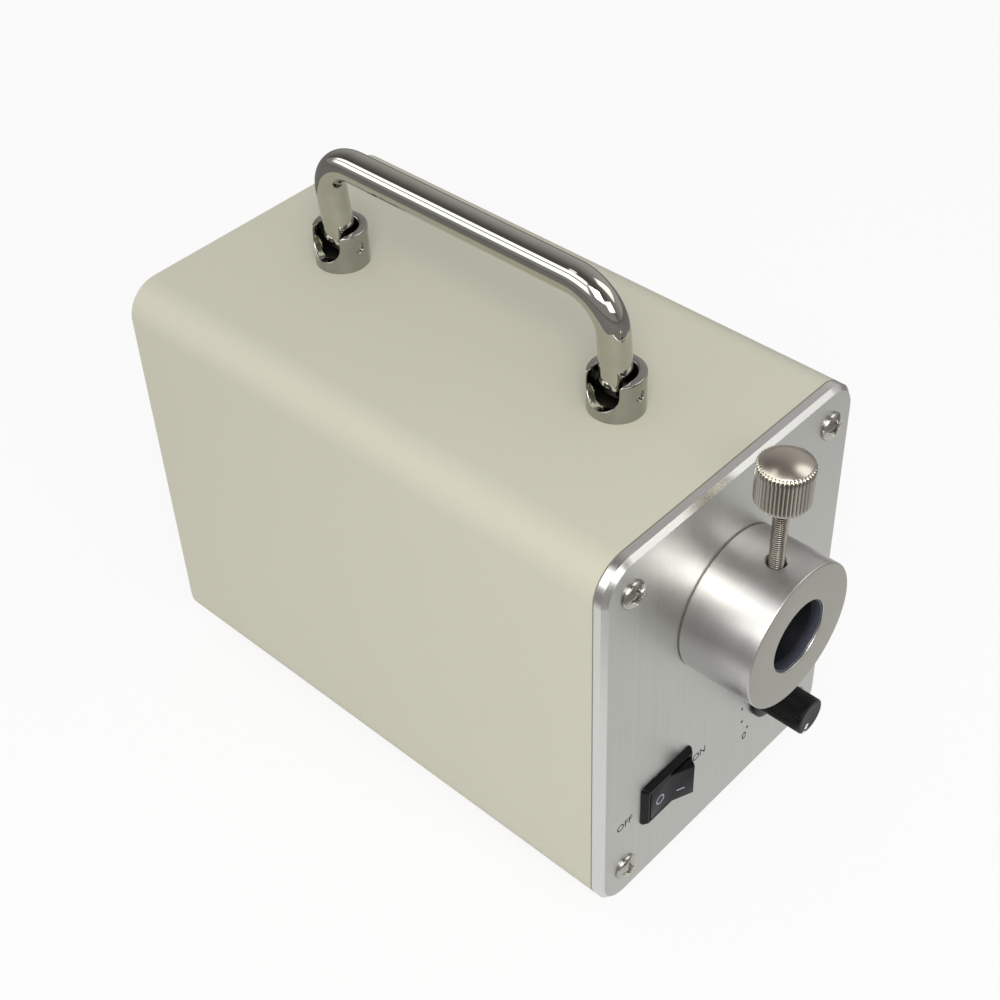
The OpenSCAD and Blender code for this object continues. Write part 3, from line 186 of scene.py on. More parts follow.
def softened(node, finish, body, width, segments=3, angle=32):
    """A solid's own mesh with its sharp edges rounded over the given width, in millimetres."""
    mesh = nodes[node].data.copy()
    bm = bmesh.new()
    bm.from_mesh(mesh)
    bmesh.ops.remove_doubles(bm, verts=bm.verts, dist=2e-6)
    bmesh.ops.dissolve_limit(bm, angle_limit=math.radians(0.4), verts=bm.verts, edges=bm.edges)
    bm.to_mesh(mesh)
    bm.free()
    piece = dress(node + "_soft", mesh, finish, body, (node,), angle)
    bevel = piece.modifiers.new("edges", "BEVEL")
    bevel.width = width * 0.001
    bevel.segments = segments
    bevel.limit_method = "ANGLE"
    bevel.angle_limit = math.radians(angle)
    bevel.use_clamp_overlap = True
    bevel.harden_normals = False
    return piece


# ---------------------------------------------------------------- finishes


class Value:
    """A shader socket that sums as a number does: each operator adds the Math node that it names."""

    def __init__(self, finish, socket):
        self.finish, self.socket = finish, socket

    def maths(self, how, a, b):
        return self.finish.maths(how, a, b)

    def __add__(self, other):
        return self.maths("ADD", self, other)

    def __sub__(self, other):
        return self.maths("SUBTRACT", self, other)

    def __rsub__(self, other):
        return self.maths("SUBTRACT", other, self)

    def __mul__(self, other):
        return self.maths("MULTIPLY", self, other)

    def __truediv__(self, other):
        return self.maths("DIVIDE", self, other)

    def __pow__(self, other):
        return self.maths("POWER", self, other)

    def __gt__(self, other):
        return self.maths("GREATER_THAN", self, other)

    __radd__ = __add__
    __rmul__ = __mul__

    def size(self):
        """The value without its sign."""
        return self.maths("ABSOLUTE", self, 0)


class Finish:
    """A material, and the nodes that make it."""

    def __init__(self, name, holder=None):
        self.block = holder or bpy.data.materials.new(name)
        self.block.use_nodes = True
        self.tree = self.block.node_tree
        self.tree.nodes.clear()

    def node(self, kind, settings=(), sockets=(), out=0):
        """Any node: its settings first, then its sockets' values or links."""
        made = self.tree.nodes.new(kind)
        for key, value in dict(settings).items():
            setattr(made, key, value)
        for key, value in dict(sockets).items():
            if isinstance(value, Value):
                self.tree.links.new(value.socket, made.inputs[key])
            else:
                made.inputs[key].default_value = value
        return Value(self, made.outputs[out]) if len(made.outputs) else None

    def place(self, scale=(1, 1, 1), shift=(0, 0, 0)):
        """Object coordinates in metres, shifted and then scaled."""
        at = self.node("ShaderNodeTexCoord", out="Object")
        moved = self.node("ShaderNodeVectorMath", {"operation": "ADD"}, {0: at, 1: shift})
        return self.node("ShaderNodeVectorMath", {"operation": "MULTIPLY"}, {0: moved, 1: scale})

    def noise(self, at, scale=1.0, detail=2.0, rough=0.5):
        """Noise from 0 to 1 over the given coordinates."""
        return self.node("ShaderNodeTexNoise", {"noise_dimensions": "3D"},
                         {"Vector": at, "Scale": scale, "Detail": detail, "Roughness": rough})

    def split(self, at):
        """The three parts of a vector."""
        made = self.node("ShaderNodeSeparateXYZ", (), {0: at})
        return [Value(self, made.socket.node.outputs[k]) for k in range(3)]

    def blend(self, share, a, b):
        """A colour that goes from a to b as the share goes from 0 to 1."""
        made = self.node("ShaderNodeMix", {"data_type": "RGBA"}, {0: share})
        mixer = made.socket.node
        for key, value in ((6, a), (7, b)):
            if isinstance(value, Value):
                self.tree.links.new(value.socket, mixer.inputs[key])
            else:
                mixer.inputs[key].default_value = (*value, 1)
        return Value(self, mixer.outputs[2])

    def bump(self, height, depth, share=1.0):
        """A bump of the given depth in metres."""
        return self.node("ShaderNodeBump", (), {"Height": height, "Distance": depth, "Strength": share})

    def maths(self, how, a, b):
        """One Math node of the named operation."""
        return self.node("ShaderNodeMath", {"operation": how}, {0: a, 1: b})

    def step(self, value, low, high, start=0.0, end=1.0):
        """A smooth step from start to end as the value goes from low to high."""
        return self.node("ShaderNodeMapRange", {"interpolation_type": "SMOOTHSTEP"},
                         {0: value, 1: low, 2: high, 3: start, 4: end})

    def shade(self, **sockets):
        """The surface: a Principled shader with the given sockets, whose names have _ for a space."""
        named = {key.replace("_", " "): value for key, value in sockets.items()}
        named = {k: (*v, 1) if isinstance(v, tuple) and len(v) == 3 else v for k, v in named.items()}
        made = self.node("ShaderNodeBsdfPrincipled", (), named)
        self.node("ShaderNodeOutputMaterial", (), {"Surface": made})
        return self.block


def linear(*rgb):
    """An sRGB colour of 0 to 255 as Blender's linear one: ((c + 0.055) / 1.055)^2.4 above the toe."""
    shares = [c / 255 for c in rgb]
    return tuple(c / 12.92 if c <= 0.04045 else ((c + 0.055) / 1.055) ** 2.4 for c in shares)


def painted():
    """Powder coat: a pale beige with a faint cloud in it, the fine orange peel of a sprayed skin, and a dark line
    0.4 mm wide along the front end, which is painted shade in the seam where it meets the panel."""
    f = Finish("sleeve_powder_coat")
    at = f.place()
    cloud = f.noise(at, 22, 2)
    speck = f.noise(at, 1500, 2)
    colour = f.blend(cloud, linear(200, 198, 181), linear(203, 201, 185))
    colour = f.blend(speck * 0.5, colour, linear(198, 196, 177))
    # Painted shade: the 0.4 mm next to the front end, in the seam by the panel, is darkened
    end = 1 - (f.split(at)[1] > (SLEEVE[1] + 0.4) * 0.001)
    colour = f.blend(end, colour, linear(128, 126, 112))
    peel = f.noise(at, 620, 3, 0.55)
    return f.shade(Base_Color=colour, Roughness=0.5 + speck * 0.12, Specular_IOR_Level=0.4,
                   Normal=f.bump(peel, 0.00006, 0.35))


def brushed_panel():
    """Brushed aluminium: hairlines down the face, and a cut bevel and edge that are polished."""
    f = Finish("panel_brushed")
    facing_y = f.split(f.node("ShaderNodeNewGeometry", out="Normal"))[1].size()
    face = facing_y > 0.95
    fine = f.noise(f.place((5200, 300, 42)), 1, 3, 0.6)
    broad = f.noise(f.place((900, 120, 10)), 1, 2)
    along = f.noise(f.place((60, 5200, 60)), 1, 2)
    line = fine * 0.65 + broad * 0.35
    colour = f.blend(line, linear(186, 187, 183), linear(216, 216, 211))
    colour = f.blend(face, f.blend(along, linear(222, 222, 220), linear(240, 240, 238)), colour)
    rough = (0.3 + line * 0.2) * face + (0.24 + along * 0.06) * (1 - face)
    height = line * face + along * (1 - face) * 0.1
    return f.shade(Base_Color=colour, Metallic=1.0, Roughness=rough, Normal=f.bump(height, 0.00003, 0.35))


def turned_metal(name, dark, light, centre, axis, rough, pitch=2600, depth=0.00002, share=0.3, face=None,
                 grooves=None, dull=0.0):
    """Metal off a lathe: rings round the axis on the faces across it, and feed lines along it on the rest.
    Both are noise over the distance from the axis and the distance along it. The faces across the axis may have
    their own darker tone as painted shade, and be duller, and grooves(f, parts, radius) gives the share of painted
    shade in flutes or threads."""
    f = Finish(name)
    parts = f.split(f.place(shift=tuple(-c * 0.001 for c in centre)))
    across = [parts[k] for k in range(3) if k != axis]
    radius = (across[0] * across[0] + across[1] * across[1]) ** 0.5
    path = f.node("ShaderNodeCombineXYZ", (), {0: radius, 1: parts[axis]})
    ring = f.noise(path, pitch, 2, 0.6)
    band = f.noise(path, 240, 2)
    line = ring * 0.6 + band * 0.4
    colour = f.blend(line, dark, light)
    flat = f.step(f.split(f.node("ShaderNodeNewGeometry", out="Normal"))[axis].size(), 0.65, 0.8)
    # Painted shade: the faces across the axis take the darker face tones
    if face:
        colour = f.blend(flat, colour, f.blend(line, *face))
    # Painted shade in the flutes and the thread's roots, darker over the whole shank
    if grooves:
        colour = f.blend(grooves(f, parts, radius), colour, linear(36, 33, 30))
    return f.shade(Base_Color=colour, Metallic=1.0, Roughness=rough[0] + line * (rough[1] - rough[0]) + flat * dull,
                   Normal=f.bump(ring, depth, share))


def flutes_and_thread(f, parts, radius):
    """Painted shade in the thumb screw: (1 - cos 44 t) / 2 squared on the fluted side, and over the shank, most at
    the thread's root, which is where height / pitch - t / turn passes a whole number."""
    t = f.maths("ARCTAN2", parts[1], parts[0])
    flute = (0.5 - f.maths("COSINE", t * FLUTES, 0) * 0.5) ** 2
    on_side = (radius > 0.0066) * (1 - (parts[2] > 0.0524))
    phase = f.maths("FRACT", parts[2] / (THREAD_PITCH * 0.001) - t / TURN + SCREW_PHASE, 0)
    root = (phase - 0.5).size() * 2
    on_shank = (1 - (radius > 0.0024)) * (1 - (parts[2] > 0.0412))
    return flute * on_side * 0.6 + (0.4 + (root > 0.45) * 0.55) * on_shank


def plated(name, dark, light, rough):
    """Plated metal: a clear tone with faint smudges that dull it, and small dents in the polish."""
    f = Finish(name)
    at = f.place()
    smudge = f.noise(at, 130, 4, 0.6)
    grain = f.noise(at, 2400, 2)
    return f.shade(Base_Color=f.blend(smudge, dark, light), Metallic=1.0,
                   Roughness=rough[0] + smudge * (rough[1] - rough[0]), Normal=f.bump(grain, 0.00001, 0.12))


def handle_plating(name, dark, light, rough, bar):
    """Bright plating on the handle and its bosses. The bar's ends are worn through to a yellowish metal below
    142 mm, and the bosses' bores, nearer than 5.35 mm to an axis, are unpolished and painted dark as shade inside
    them."""
    f = Finish(name)
    at = f.place()
    smudge = f.noise(at, 130, 4, 0.6)
    spots = f.noise(at, 900, 3)
    x, y, z = f.split(at)
    if bar:
        share = f.step(z + spots * 0.003, 0.1385, 0.1445, 1.0, 0.0)
        tone, dull = f.blend(spots, linear(120, 116, 70), linear(176, 172, 130)), 0.16
    else:
        # Painted shade: the bores get a dark tone, and they are rougher too
        middle = (y - (SLEEVE[1] + sum(HANDLE_Y) / 2) * 0.001).size() - (HANDLE_Y[1] - HANDLE_Y[0]) / 2000
        share = 1 - ((x * x + middle * middle) ** 0.5 > 0.00535)
        tone, dull = f.blend(spots, linear(58, 58, 60), linear(82, 82, 80)), 0.3
    colour = f.blend(share, f.blend(smudge, dark, light), tone)
    return f.shade(Base_Color=colour, Metallic=1.0,
                   Roughness=rough[0] + smudge * (rough[1] - rough[0]) + share * dull,
                   Normal=f.bump(f.noise(at, 2400, 2), 0.00001, 0.12))


def moulded(name, dark, light, rough=(0.35, 0.5), grain=1800, depth=0.00003, share=0.35, level=0.5):
    """Moulded plastic, rubber or a printed board: a fine grain with a slight change of tone."""
    f = Finish(name)
    at = f.place()
    fine = f.noise(at, grain, 3, 0.6)
    cloud = f.noise(at, 90, 2)
    return f.shade(Base_Color=f.blend(cloud * 0.6 + fine * 0.4, dark, light),
                   Roughness=rough[0] + fine * (rough[1] - rough[0]), Specular_IOR_Level=level,
                   Normal=f.bump(fine, depth, share))


def anodised_bore():
    """Black anodising, paler near the mouth and darkened deeper in as painted shade, over 3 mm from the mouth."""
    f = Finish("anodised_bore")
    at = f.place()
    mouth = (SLEEVE[1] + PORT_FACE) * 0.001
    # Painted shade: the bore darkens from 0.8 mm to 3.8 mm in from the mouth
    deep = f.step(f.split(at)[1], mouth + 0.0008, mouth + 0.0038)
    fine = f.noise(at, 1500, 3)
    paler_mouth = f.blend(fine, linear(60, 62, 74), linear(80, 82, 96))
    colour = f.blend(deep, paler_mouth, f.blend(fine, linear(18, 19, 23), linear(28, 30, 35)))
    return f.shade(Base_Color=colour, Roughness=0.35 + fine * 0.15, Normal=f.bump(fine, 0.00002, 0.3))


def clear_glass(name, tint, rough):
    """Glass with a faint tint and a haze of dust that roughens it."""
    f = Finish(name)
    dust = f.noise(f.place(), 900, 3)
    return f.shade(Base_Color=f.blend(dust, tint, tuple(min(1, c * 1.03) for c in tint)),
                   Roughness=rough + dust * 0.03, IOR=1.5, Transmission_Weight=1.0)


def striped(name, dark, light, way, pitch, rough=0.45):
    """A wound or ribbed finish: a sine of the distance along one axis."""
    f = Finish(name)
    part = f.split(f.place())[way]
    wave = f.node("ShaderNodeMath", {"operation": "SINE"}, {0: part * (TURN / pitch)}) * 0.5 + 0.5
    cloud = f.noise(f.place(), 300, 2)
    return f.shade(Base_Color=f.blend(wave * 0.7 + cloud * 0.3, dark, light), Metallic=0.6,
                   Roughness=rough + cloud * 0.1, Normal=f.bump(wave, 0.0001, 0.5))


def printed(name, shade):
    """Screen ink: flat, with the faint grain of the mesh that it was pushed through."""
    f = Finish(name)
    grain = f.noise(f.place(), 4000, 2)
    return f.shade(Base_Color=f.blend(grain, shade, tuple(c * 1.3 + 0.002 for c in shade)),
                   Roughness=0.5 + grain * 0.1)


finishes = {
    "sleeve_paint": painted(),
    "panel_aluminium": brushed_panel(),
    # The port's front face takes darker tones than its side, as painted shade
    "port_aluminium": turned_metal("port_turned", linear(202, 201, 201), linear(224, 223, 222), (0, -75.5, 91), 1,
                                   rough=(0.3, 0.4), face=(linear(168, 166, 157), linear(182, 180, 171))),
    "black_aluminium": moulded("black_anodised", linear(36, 38, 46), linear(50, 52, 62), (0.3, 0.45)),
    "liner_aluminium": anodised_bore(),
    "plain_aluminium": moulded("plain_aluminium", linear(188, 190, 194), linear(205, 207, 210), (0.35, 0.45)),
    "screw_steel": plated("screw_nickel", linear(176, 174, 166), linear(204, 202, 195), (0.12, 0.26)),
    "sheet_steel": plated("zinc_sheet", linear(176, 180, 186), linear(206, 210, 214), (0.3, 0.5)),
    "thumb_steel": turned_metal("thumb_nickel", linear(182, 176, 165), linear(212, 206, 195), (0, -92, 91), 2,
                                rough=(0.2, 0.28), pitch=5200, depth=0.00002, share=0.35, grooves=flutes_and_thread,
                                dull=0.04),
    "handle_chrome": handle_plating("handle_chrome", linear(182, 181, 174), linear(202, 201, 194), (0.03, 0.09),
                                    True),
    "boss_chrome": handle_plating("boss_chrome", linear(150, 150, 144), linear(184, 184, 178), (0.07, 0.16), False),
    "foot_rubber": moulded("foot_rubber", linear(26, 26, 27), linear(42, 42, 43), (0.75, 0.9), 1200, 0.00008, 0.5),
    "knob_plastic": moulded("knob_plastic", linear(5, 6, 8), linear(10, 11, 13), (0.3, 0.4), level=0.2),
    "switch_plastic": moulded("switch_plastic", linear(4, 5, 7), linear(8, 9, 12), (0.25, 0.34), depth=0.00001,
                              level=0.2),
    "black_plastic": moulded("black_plastic", linear(30, 30, 32), linear(42, 42, 44), (0.45, 0.6)),
    "nylon": moulded("nylon", linear(226, 224, 212), linear(240, 238, 228), (0.4, 0.5)),
    "lens_glass": clear_glass("lens_glass", (0.93, 0.96, 0.98), 0.01),
    "board_copper": moulded("white_mask", linear(228, 228, 224), linear(240, 240, 238), (0.3, 0.4)),
    "emitter": moulded("phosphor", linear(232, 200, 70), linear(244, 216, 92), (0.35, 0.45)),
    "circuit_board": moulded("green_mask", linear(24, 88, 52), linear(34, 110, 66), (0.25, 0.35), 700, 0.00004),
    "brass": plated("brass", linear(196, 168, 96), linear(222, 196, 124), (0.2, 0.3)),
    "tinned": plated("tinned", linear(190, 188, 180), linear(214, 212, 204), (0.25, 0.38)),
    "core": striped("wound_core", linear(96, 74, 26), linear(168, 140, 62), 0, 0.0008),
    "capacitor": plated("capacitor_sleeve", linear(24, 34, 74), linear(36, 48, 96), (0.25, 0.35)),
    "terminal_plastic": moulded("terminal_green", linear(30, 106, 64), linear(40, 128, 78), (0.35, 0.45)),
    "copper": plated("copper", linear(184, 108, 66), linear(210, 132, 86), (0.25, 0.35)),
    "fuse_glass": clear_glass("fuse_glass", (0.95, 0.97, 0.97), 0.03),
    "wire_brown": moulded("wire_brown", linear(86, 50, 28), linear(100, 60, 36), (0.35, 0.45)),
    "wire_red": moulded("wire_red", linear(170, 34, 26), linear(190, 44, 34), (0.35, 0.45)),
    "wire_white": moulded("wire_white", linear(216, 216, 210), linear(230, 230, 224), (0.35, 0.45)),
    "wire_black": moulded("wire_black", linear(24, 24, 25), linear(36, 36, 37), (0.35, 0.45)),
    "ink": printed("black_ink", linear(30, 30, 34)),
    "white_ink": printed("white_ink", linear(206, 208, 212)),
    "mark_ink": printed("mark_ink", linear(150, 150, 168)),
}

wears = {
    "sleeve_paint": "housing_sleeve",
    "panel_aluminium": "front_panel rear_panel",
    "port_aluminium": "light_port",
    "black_aluminium": "lens_barrel lens_spacer lens_retaining_ring",
    "liner_aluminium": "port_liner",
    "plain_aluminium": "heat_sink heat_sink_bracket",
    "screw_steel": "front_panel_screws rear_panel_screws foot_screws port_screws barrel_screws led_board_screws"
                   " heat_sink_screws bracket_screws fan_screws board_screws inlet_screws boss_screws",
    "sheet_steel": "chassis_plate dimmer_pot_body",
    "thumb_steel": "thumb_screw",
    "handle_chrome": "handle_bar",
    "boss_chrome": "handle_boss_front handle_boss_rear handle_pins",
    "foot_rubber": "rubber_feet",
    "knob_plastic": "dimmer_knob",
    "switch_plastic": "switch_body switch_rocker",
    "black_plastic": "fan_frame fan_stator fan_rotor power_inlet fuse_drawer",
    "nylon": "thumb_screw_tip",
    "lens_glass": "condenser_lens_front condenser_lens_rear",
    "board_copper": "led_board",
    "emitter": "led_emitter",
    "circuit_board": "driver_board",
    "brass": "board_standoffs dimmer_shaft inlet_pins",
    "tinned": "dimmer_pot_washer dimmer_pot_nut dimmer_pot_terminals switch_terminals",
    "core": "driver_transformer",
    "capacitor": "driver_capacitors",
    "terminal_plastic": "driver_terminals",
    "fuse_glass": "fuse",
    "wire_brown": "mains_wires",
    "wire_red": "led_wires",
    "wire_white": "dimmer_wires",
    "wire_black": "fan_wires",
}
for finish, worn_by in wears.items():
    for name in worn_by.split():
        nodes[name].data.materials.clear()
        nodes[name].data.materials.append(finishes[finish])


# ---------------------------------------------------------------- handle


def handle_surface():
    """A bent bar swept along its centre line. Across it the section is |x/w|^p + |n/h|^p = 1, with n in the plane
    of the bends: a circle on the bar, and flattened to a tongue whose lower end is a half circle about its pin."""
    up = np.linspace(-90, 0, 9)
    low = np.radians(up)
    tongue = [(3.4 * math.sin(a), 3.4 * math.cos(a)) for a in low]
    leg = tongue + [(z, 3.4 + ease(z, -2, 6)) for z in (0.7, 1.4, 2.1, 2.8, 3.5, 4.2, 4.9, 5.6, 6.3, 7, 9, 12)]
    z, w = np.array(leg).T
    swell = ease(z, -1, 6.3)
    h, p = 3.1 + 1.3 * swell, 4.5 - 2.5 * swell
    bend = np.linspace(0, math.pi / 2, 25)
    span = HANDLE_Y[1] - HANDLE_Y[0]
    top = HANDLE_RISE - HANDLE_BEND
    y = np.concatenate([0 * z, HANDLE_BEND * (1 - np.cos(bend))])
    height = np.concatenate([z, top + HANDLE_BEND * np.sin(bend)])
    turn = np.concatenate([0 * z, bend])
    full = np.full(len(bend), 4.4)
    w, h, p = np.concatenate([w, full]), np.concatenate([h, full]), np.concatenate([p, full * 0 + 2])
    y = np.concatenate([y, span - y[::-1]])
    height = np.concatenate([height, height[::-1]])
    turn = np.concatenate([turn, math.pi - turn[::-1]])
    w, h, p = (np.concatenate([v, v[::-1]])[:, None] for v in (w, h, p))
    t = (np.arange(64) + 0.5) * TURN / 64
    x = w * np.sign(np.cos(t)) * np.abs(np.cos(t)) ** (2 / p)
    n = h * np.sign(np.sin(t)) * np.abs(np.sin(t)) ** (2 / p)
    y = y[:, None] + n * np.cos(turn)[:, None]
    z = height[:, None] - n * np.sin(turn)[:, None]
    lean_x = x * math.cos(HANDLE_LEAN) - z * math.sin(HANDLE_LEAN)
    lean_z = x * math.sin(HANDLE_LEAN) + z * math.cos(HANDLE_LEAN)
    return surface(np.stack([lean_x, HANDLE_Y[0] + y, PIVOT_Z + lean_z], -1))


build("carry_handle", [handle_surface()], finishes["handle_chrome"], "handle", ["handle_bar"], 50)


def boss_surface(place_y):
    """A slotted cup. Its rim is followed once round: over the closed part it is the top of the wall, from the angle
    -t to t; then it turns down over each side of the slot on a corner of the rim's radius, and runs along the
    half circle y = r cos b, z = c - r sin b. Each column of the grid goes up the outer skin, over the rim with the
    corner rounded by (1-s)^2 a + 2 s (1-s) corner + s^2 b, and down the bore to the floor. The pin's hole is drilled
    on both sides."""
    out_r, bore, top, floor, mid, soft = 7.75, 5.25, 11.5, 3.0, 8.25, 0.7
    hole_z, near = 6.9, np.linspace(-3.2, 3.2, 17)
    edge = math.pi - math.asin((bore + soft) / out_r)
    dense = near / out_r
    side = np.concatenate([np.linspace(0, math.pi / 2 + dense[0], 20)[:-1], math.pi / 2 + dense])
    side = np.concatenate([side, np.linspace(side[-1], edge, 5)[1:]])
    outer_a = side
    inner_a = np.minimum(side / edge, 1) * math.pi / 2
    count = len(side)
    # One half of the rim, from +X to -X, as the outer corner, the inner corner and the way up from the rim
    corner = np.linspace(90, 180, 7)[1:]
    c_rad = np.radians(corner)
    down = np.linspace(top - soft, mid, 5)[1:]
    arc = np.linspace(0, math.pi / 2, 17)[1:]
    y = np.concatenate([bore + soft + soft * np.cos(c_rad), 0 * down + bore, bore * np.cos(arc)])
    z = np.concatenate([top - soft + soft * np.sin(c_rad), down, mid - bore * np.sin(arc)])
    up_y = np.concatenate([np.cos(c_rad), 0 * down - 1, -np.cos(arc)])
    up_z = np.concatenate([np.sin(c_rad), 0 * down, np.sin(arc)])
    outer = np.stack([np.concatenate([out_r * np.cos(outer_a), -np.sqrt(out_r ** 2 - y ** 2)]),
                      np.concatenate([out_r * np.sin(outer_a), y]), np.concatenate([0 * side + top, z])], -1)
    inner_x = -np.sqrt(np.maximum(bore ** 2 - y ** 2, 0))
    inner = np.stack([np.concatenate([bore * np.cos(inner_a), inner_x]),
                      np.concatenate([bore * np.sin(inner_a), y]), np.concatenate([0 * side + top, z])], -1)
    up = np.stack([0 * outer[:, 0], np.concatenate([0 * side, up_y]), np.concatenate([0 * side + 1, up_z])], -1)
    total = len(outer)
    foot_out = np.concatenate([outer_a, np.linspace(edge, math.pi, total - count + 1)[1:]])
    foot_in = np.concatenate([inner_a, np.linspace(math.pi / 2, math.pi, total - count + 1)[1:]])
    wall = np.clip((outer[:, 2] - floor) * 0.9, 0.02, soft)[:, None]
    # On the outer skin, the start below the rim, the sharp corner, and the end on the rim
    start = outer - up * wall
    flat = np.hypot(start[:, 0], start[:, 1])[:, None]
    start[:, :2] *= out_r / flat
    way = inner - outer
    way /= np.maximum(np.linalg.norm(way, axis=1), 1e-9)[:, None]
    over = outer + way * wall
    s = np.linspace(0, 1, 6)[:, None, None]
    rim_out = (1 - s) ** 2 * start + 2 * s * (1 - s) * outer + s ** 2 * over
    # On the inner side the corner's own arc goes on from the slot's, so its columns keep only what is left of it
    here = np.concatenate([0 * side + 90, corner, np.full(total - count - len(corner), 180.0)])
    straight = (np.arange(total) < count + len(corner) + len(down))[:, None]
    angle = np.radians(here + (180 - here) * np.linspace(0, 1, 6)[:, None])
    radial = np.stack([np.cos(foot_in), np.sin(foot_in), 0 * foot_in], -1)
    radial[count:] = (0, 1, 0)
    hub = radial * (bore + soft)
    hub[:, 2] = top - soft
    arc_points = hub + soft * (radial * np.cos(angle)[..., None] + np.array([0, 0, 1]) * np.sin(angle)[..., None])
    lower = inner - up * wall
    lower[:, :2] *= (bore / np.maximum(np.hypot(lower[:, 0], lower[:, 1]), 1e-9))[:, None]
    rim_in = (1 - s) ** 2 * (inner - way * wall) + 2 * s * (1 - s) * inner + s ** 2 * lower
    downs = np.arange(total) >= count + len(corner)
    arc_points = np.where((straight[:, 0] & downs)[None, :, None], inner[None], arc_points)
    rim_in = np.where(straight[None], arc_points, rim_in)
    # The outer skin, with the pin's hole, and the bore
    rows = np.concatenate([[0.0, 1.2, 2.4], hole_z + near])
    lift = rows[:, None] * np.minimum(1, start[:, 2] / rows[-1])
    blend = np.clip(rows / rows[-1], 0, 1)[:, None]
    start_a = np.concatenate([outer_a, np.arctan2(start[count:, 1], start[count:, 0])])
    turn = foot_out * (1 - blend) + start_a * blend
    new_u, new_z, depth = drilled((turn - math.pi / 2) * out_r, lift - hole_z, 3.2, 1.6,
                                  [(0, 1.3), (0.8, 1.3), (1.4, 1.3), (1.5, 0.12), (1.6, 0)])
    held = np.arange(total) < count
    turn = np.where(held, new_u / out_r + math.pi / 2, turn)
    lift = np.where(held, new_z + hole_z, lift)
    radius = out_r - np.where(held, depth, 0)
    skin = np.stack([radius * np.cos(turn), radius * np.sin(turn), lift], -1)
    t = np.linspace(0, 1, 6)[1:, None]
    top_a = np.arctan2(rim_in[-1, :, 1], rim_in[-1, :, 0])
    down_a = top_a * (1 - t) + foot_in * t
    down_z = np.maximum(rim_in[-1, :, 2], floor) * (1 - t) + floor * t
    well = np.stack([bore * np.cos(down_a), bore * np.sin(down_a), down_z], -1)
    floor_rings = [well[-1:] * (0.5, 0.5, 1), well[-1:] * (0, 0, 1)]
    half = np.concatenate([skin[:1] * (0, 0, 1), skin, rim_out, rim_in, well, *floor_rings])
    mirror = half[:, ::-1][:, 1:-1] * (1, -1, 1)
    points, faces = surface(np.concatenate([half, mirror], 1))
    return points + np.array([0, place_y, SLEEVE_TOP]), faces


build("handle_cup_bosses", [boss_surface(y) for y in HANDLE_Y], finishes["boss_chrome"], "housing",
      ["handle_boss_front", "handle_boss_rear"], 35)


# ---------------------------------------------------------------- light port


def port_surface():
    """A turned tube: the loop of radius and distance from the panel carried round the port's axis, with a relief
    where it meets the panel and rounded edges. The thumb screw's hole goes through its upper side, with a
    countersink: the steps round the hole are even on the outside, and wider turns on the bore make them even there
    too. Each skin goes down or up the hole to a level 5 mm below the outside, where the two meet and the middle is
    left out."""
    near = np.linspace(-4.4, 4.4, 17)
    mid = THUMB_Y - PANEL_FACE
    bore = 10.5
    loop = [(20.5, 0), (20.6, -0.2), (20.85, -0.32), (PORT_R, -0.4)]
    loop += [(PORT_R, y) for y in (-1, -2.5, -4.5, -6.5, -7.8)] + [(PORT_R, mid - v) for v in near]
    loop = np.vstack([loop, rounded([(PORT_R, -19), (PORT_R, -22), (bore, -22), (bore, -21)], (0.5, 0.4), 7)])
    back = [(bore, -6), (bore, 3.5), (14, 3.5), (14, 0)]
    loop = np.vstack([loop, [(bore, -19)], [(bore, mid + v) for v in near], back])
    r, y = loop.T[:, :, None]

    def turns(radius):
        return np.concatenate([near / radius, np.linspace(near[-1] / radius, TURN + near[0] / radius, 132)[1:-1]])

    inner = r < bore + 0.6
    around = (np.where(inner, turns(bore), turns(PORT_R)) + math.pi) % TURN - math.pi
    skin = np.where(inner, bore, PORT_R)
    y = y + 0 * around
    drill = (np.abs(r - skin) < 1e-6) & (np.abs(y - mid) < 4.41) & (np.abs(around * skin) < 4.41)
    rings = [(0, 5), (1.1, 5), (2.15, 5), (2.3, 1.2), (2.7, 0.3), (3.0, 0)]
    new_u, new_y, depth = drilled(around * skin, y - mid, 4.4, 2.75, rings)
    around = np.where(drill, new_u / skin, around)
    y = np.where(drill, new_y + mid, y)
    x, z = r * np.sin(around), r * np.cos(around)
    deep = drill & (depth > 4.9)
    x = np.where(drill & (depth > 0), new_u, x)
    z = np.where(drill & (depth > 0) & ~deep, np.sqrt(r * r - x * x) + np.where(inner, depth, -depth), z)
    z = np.where(deep, PORT_R - 5, z)
    points, faces = surface(np.stack([x, PANEL_FACE + y, PORT_Z + z], -1), wrap_rows=True)
    faces = np.asarray(faces)
    faces = faces[~deep.ravel()[faces].all(1)]
    kept, faces = np.unique(faces, return_inverse=True)
    return points[kept], faces.reshape(-1, 4)


build("light_port_turned", [port_surface()], finishes["port_aluminium"], "housing", ["light_port"],
      32)


# ---------------------------------------------------------------- screws


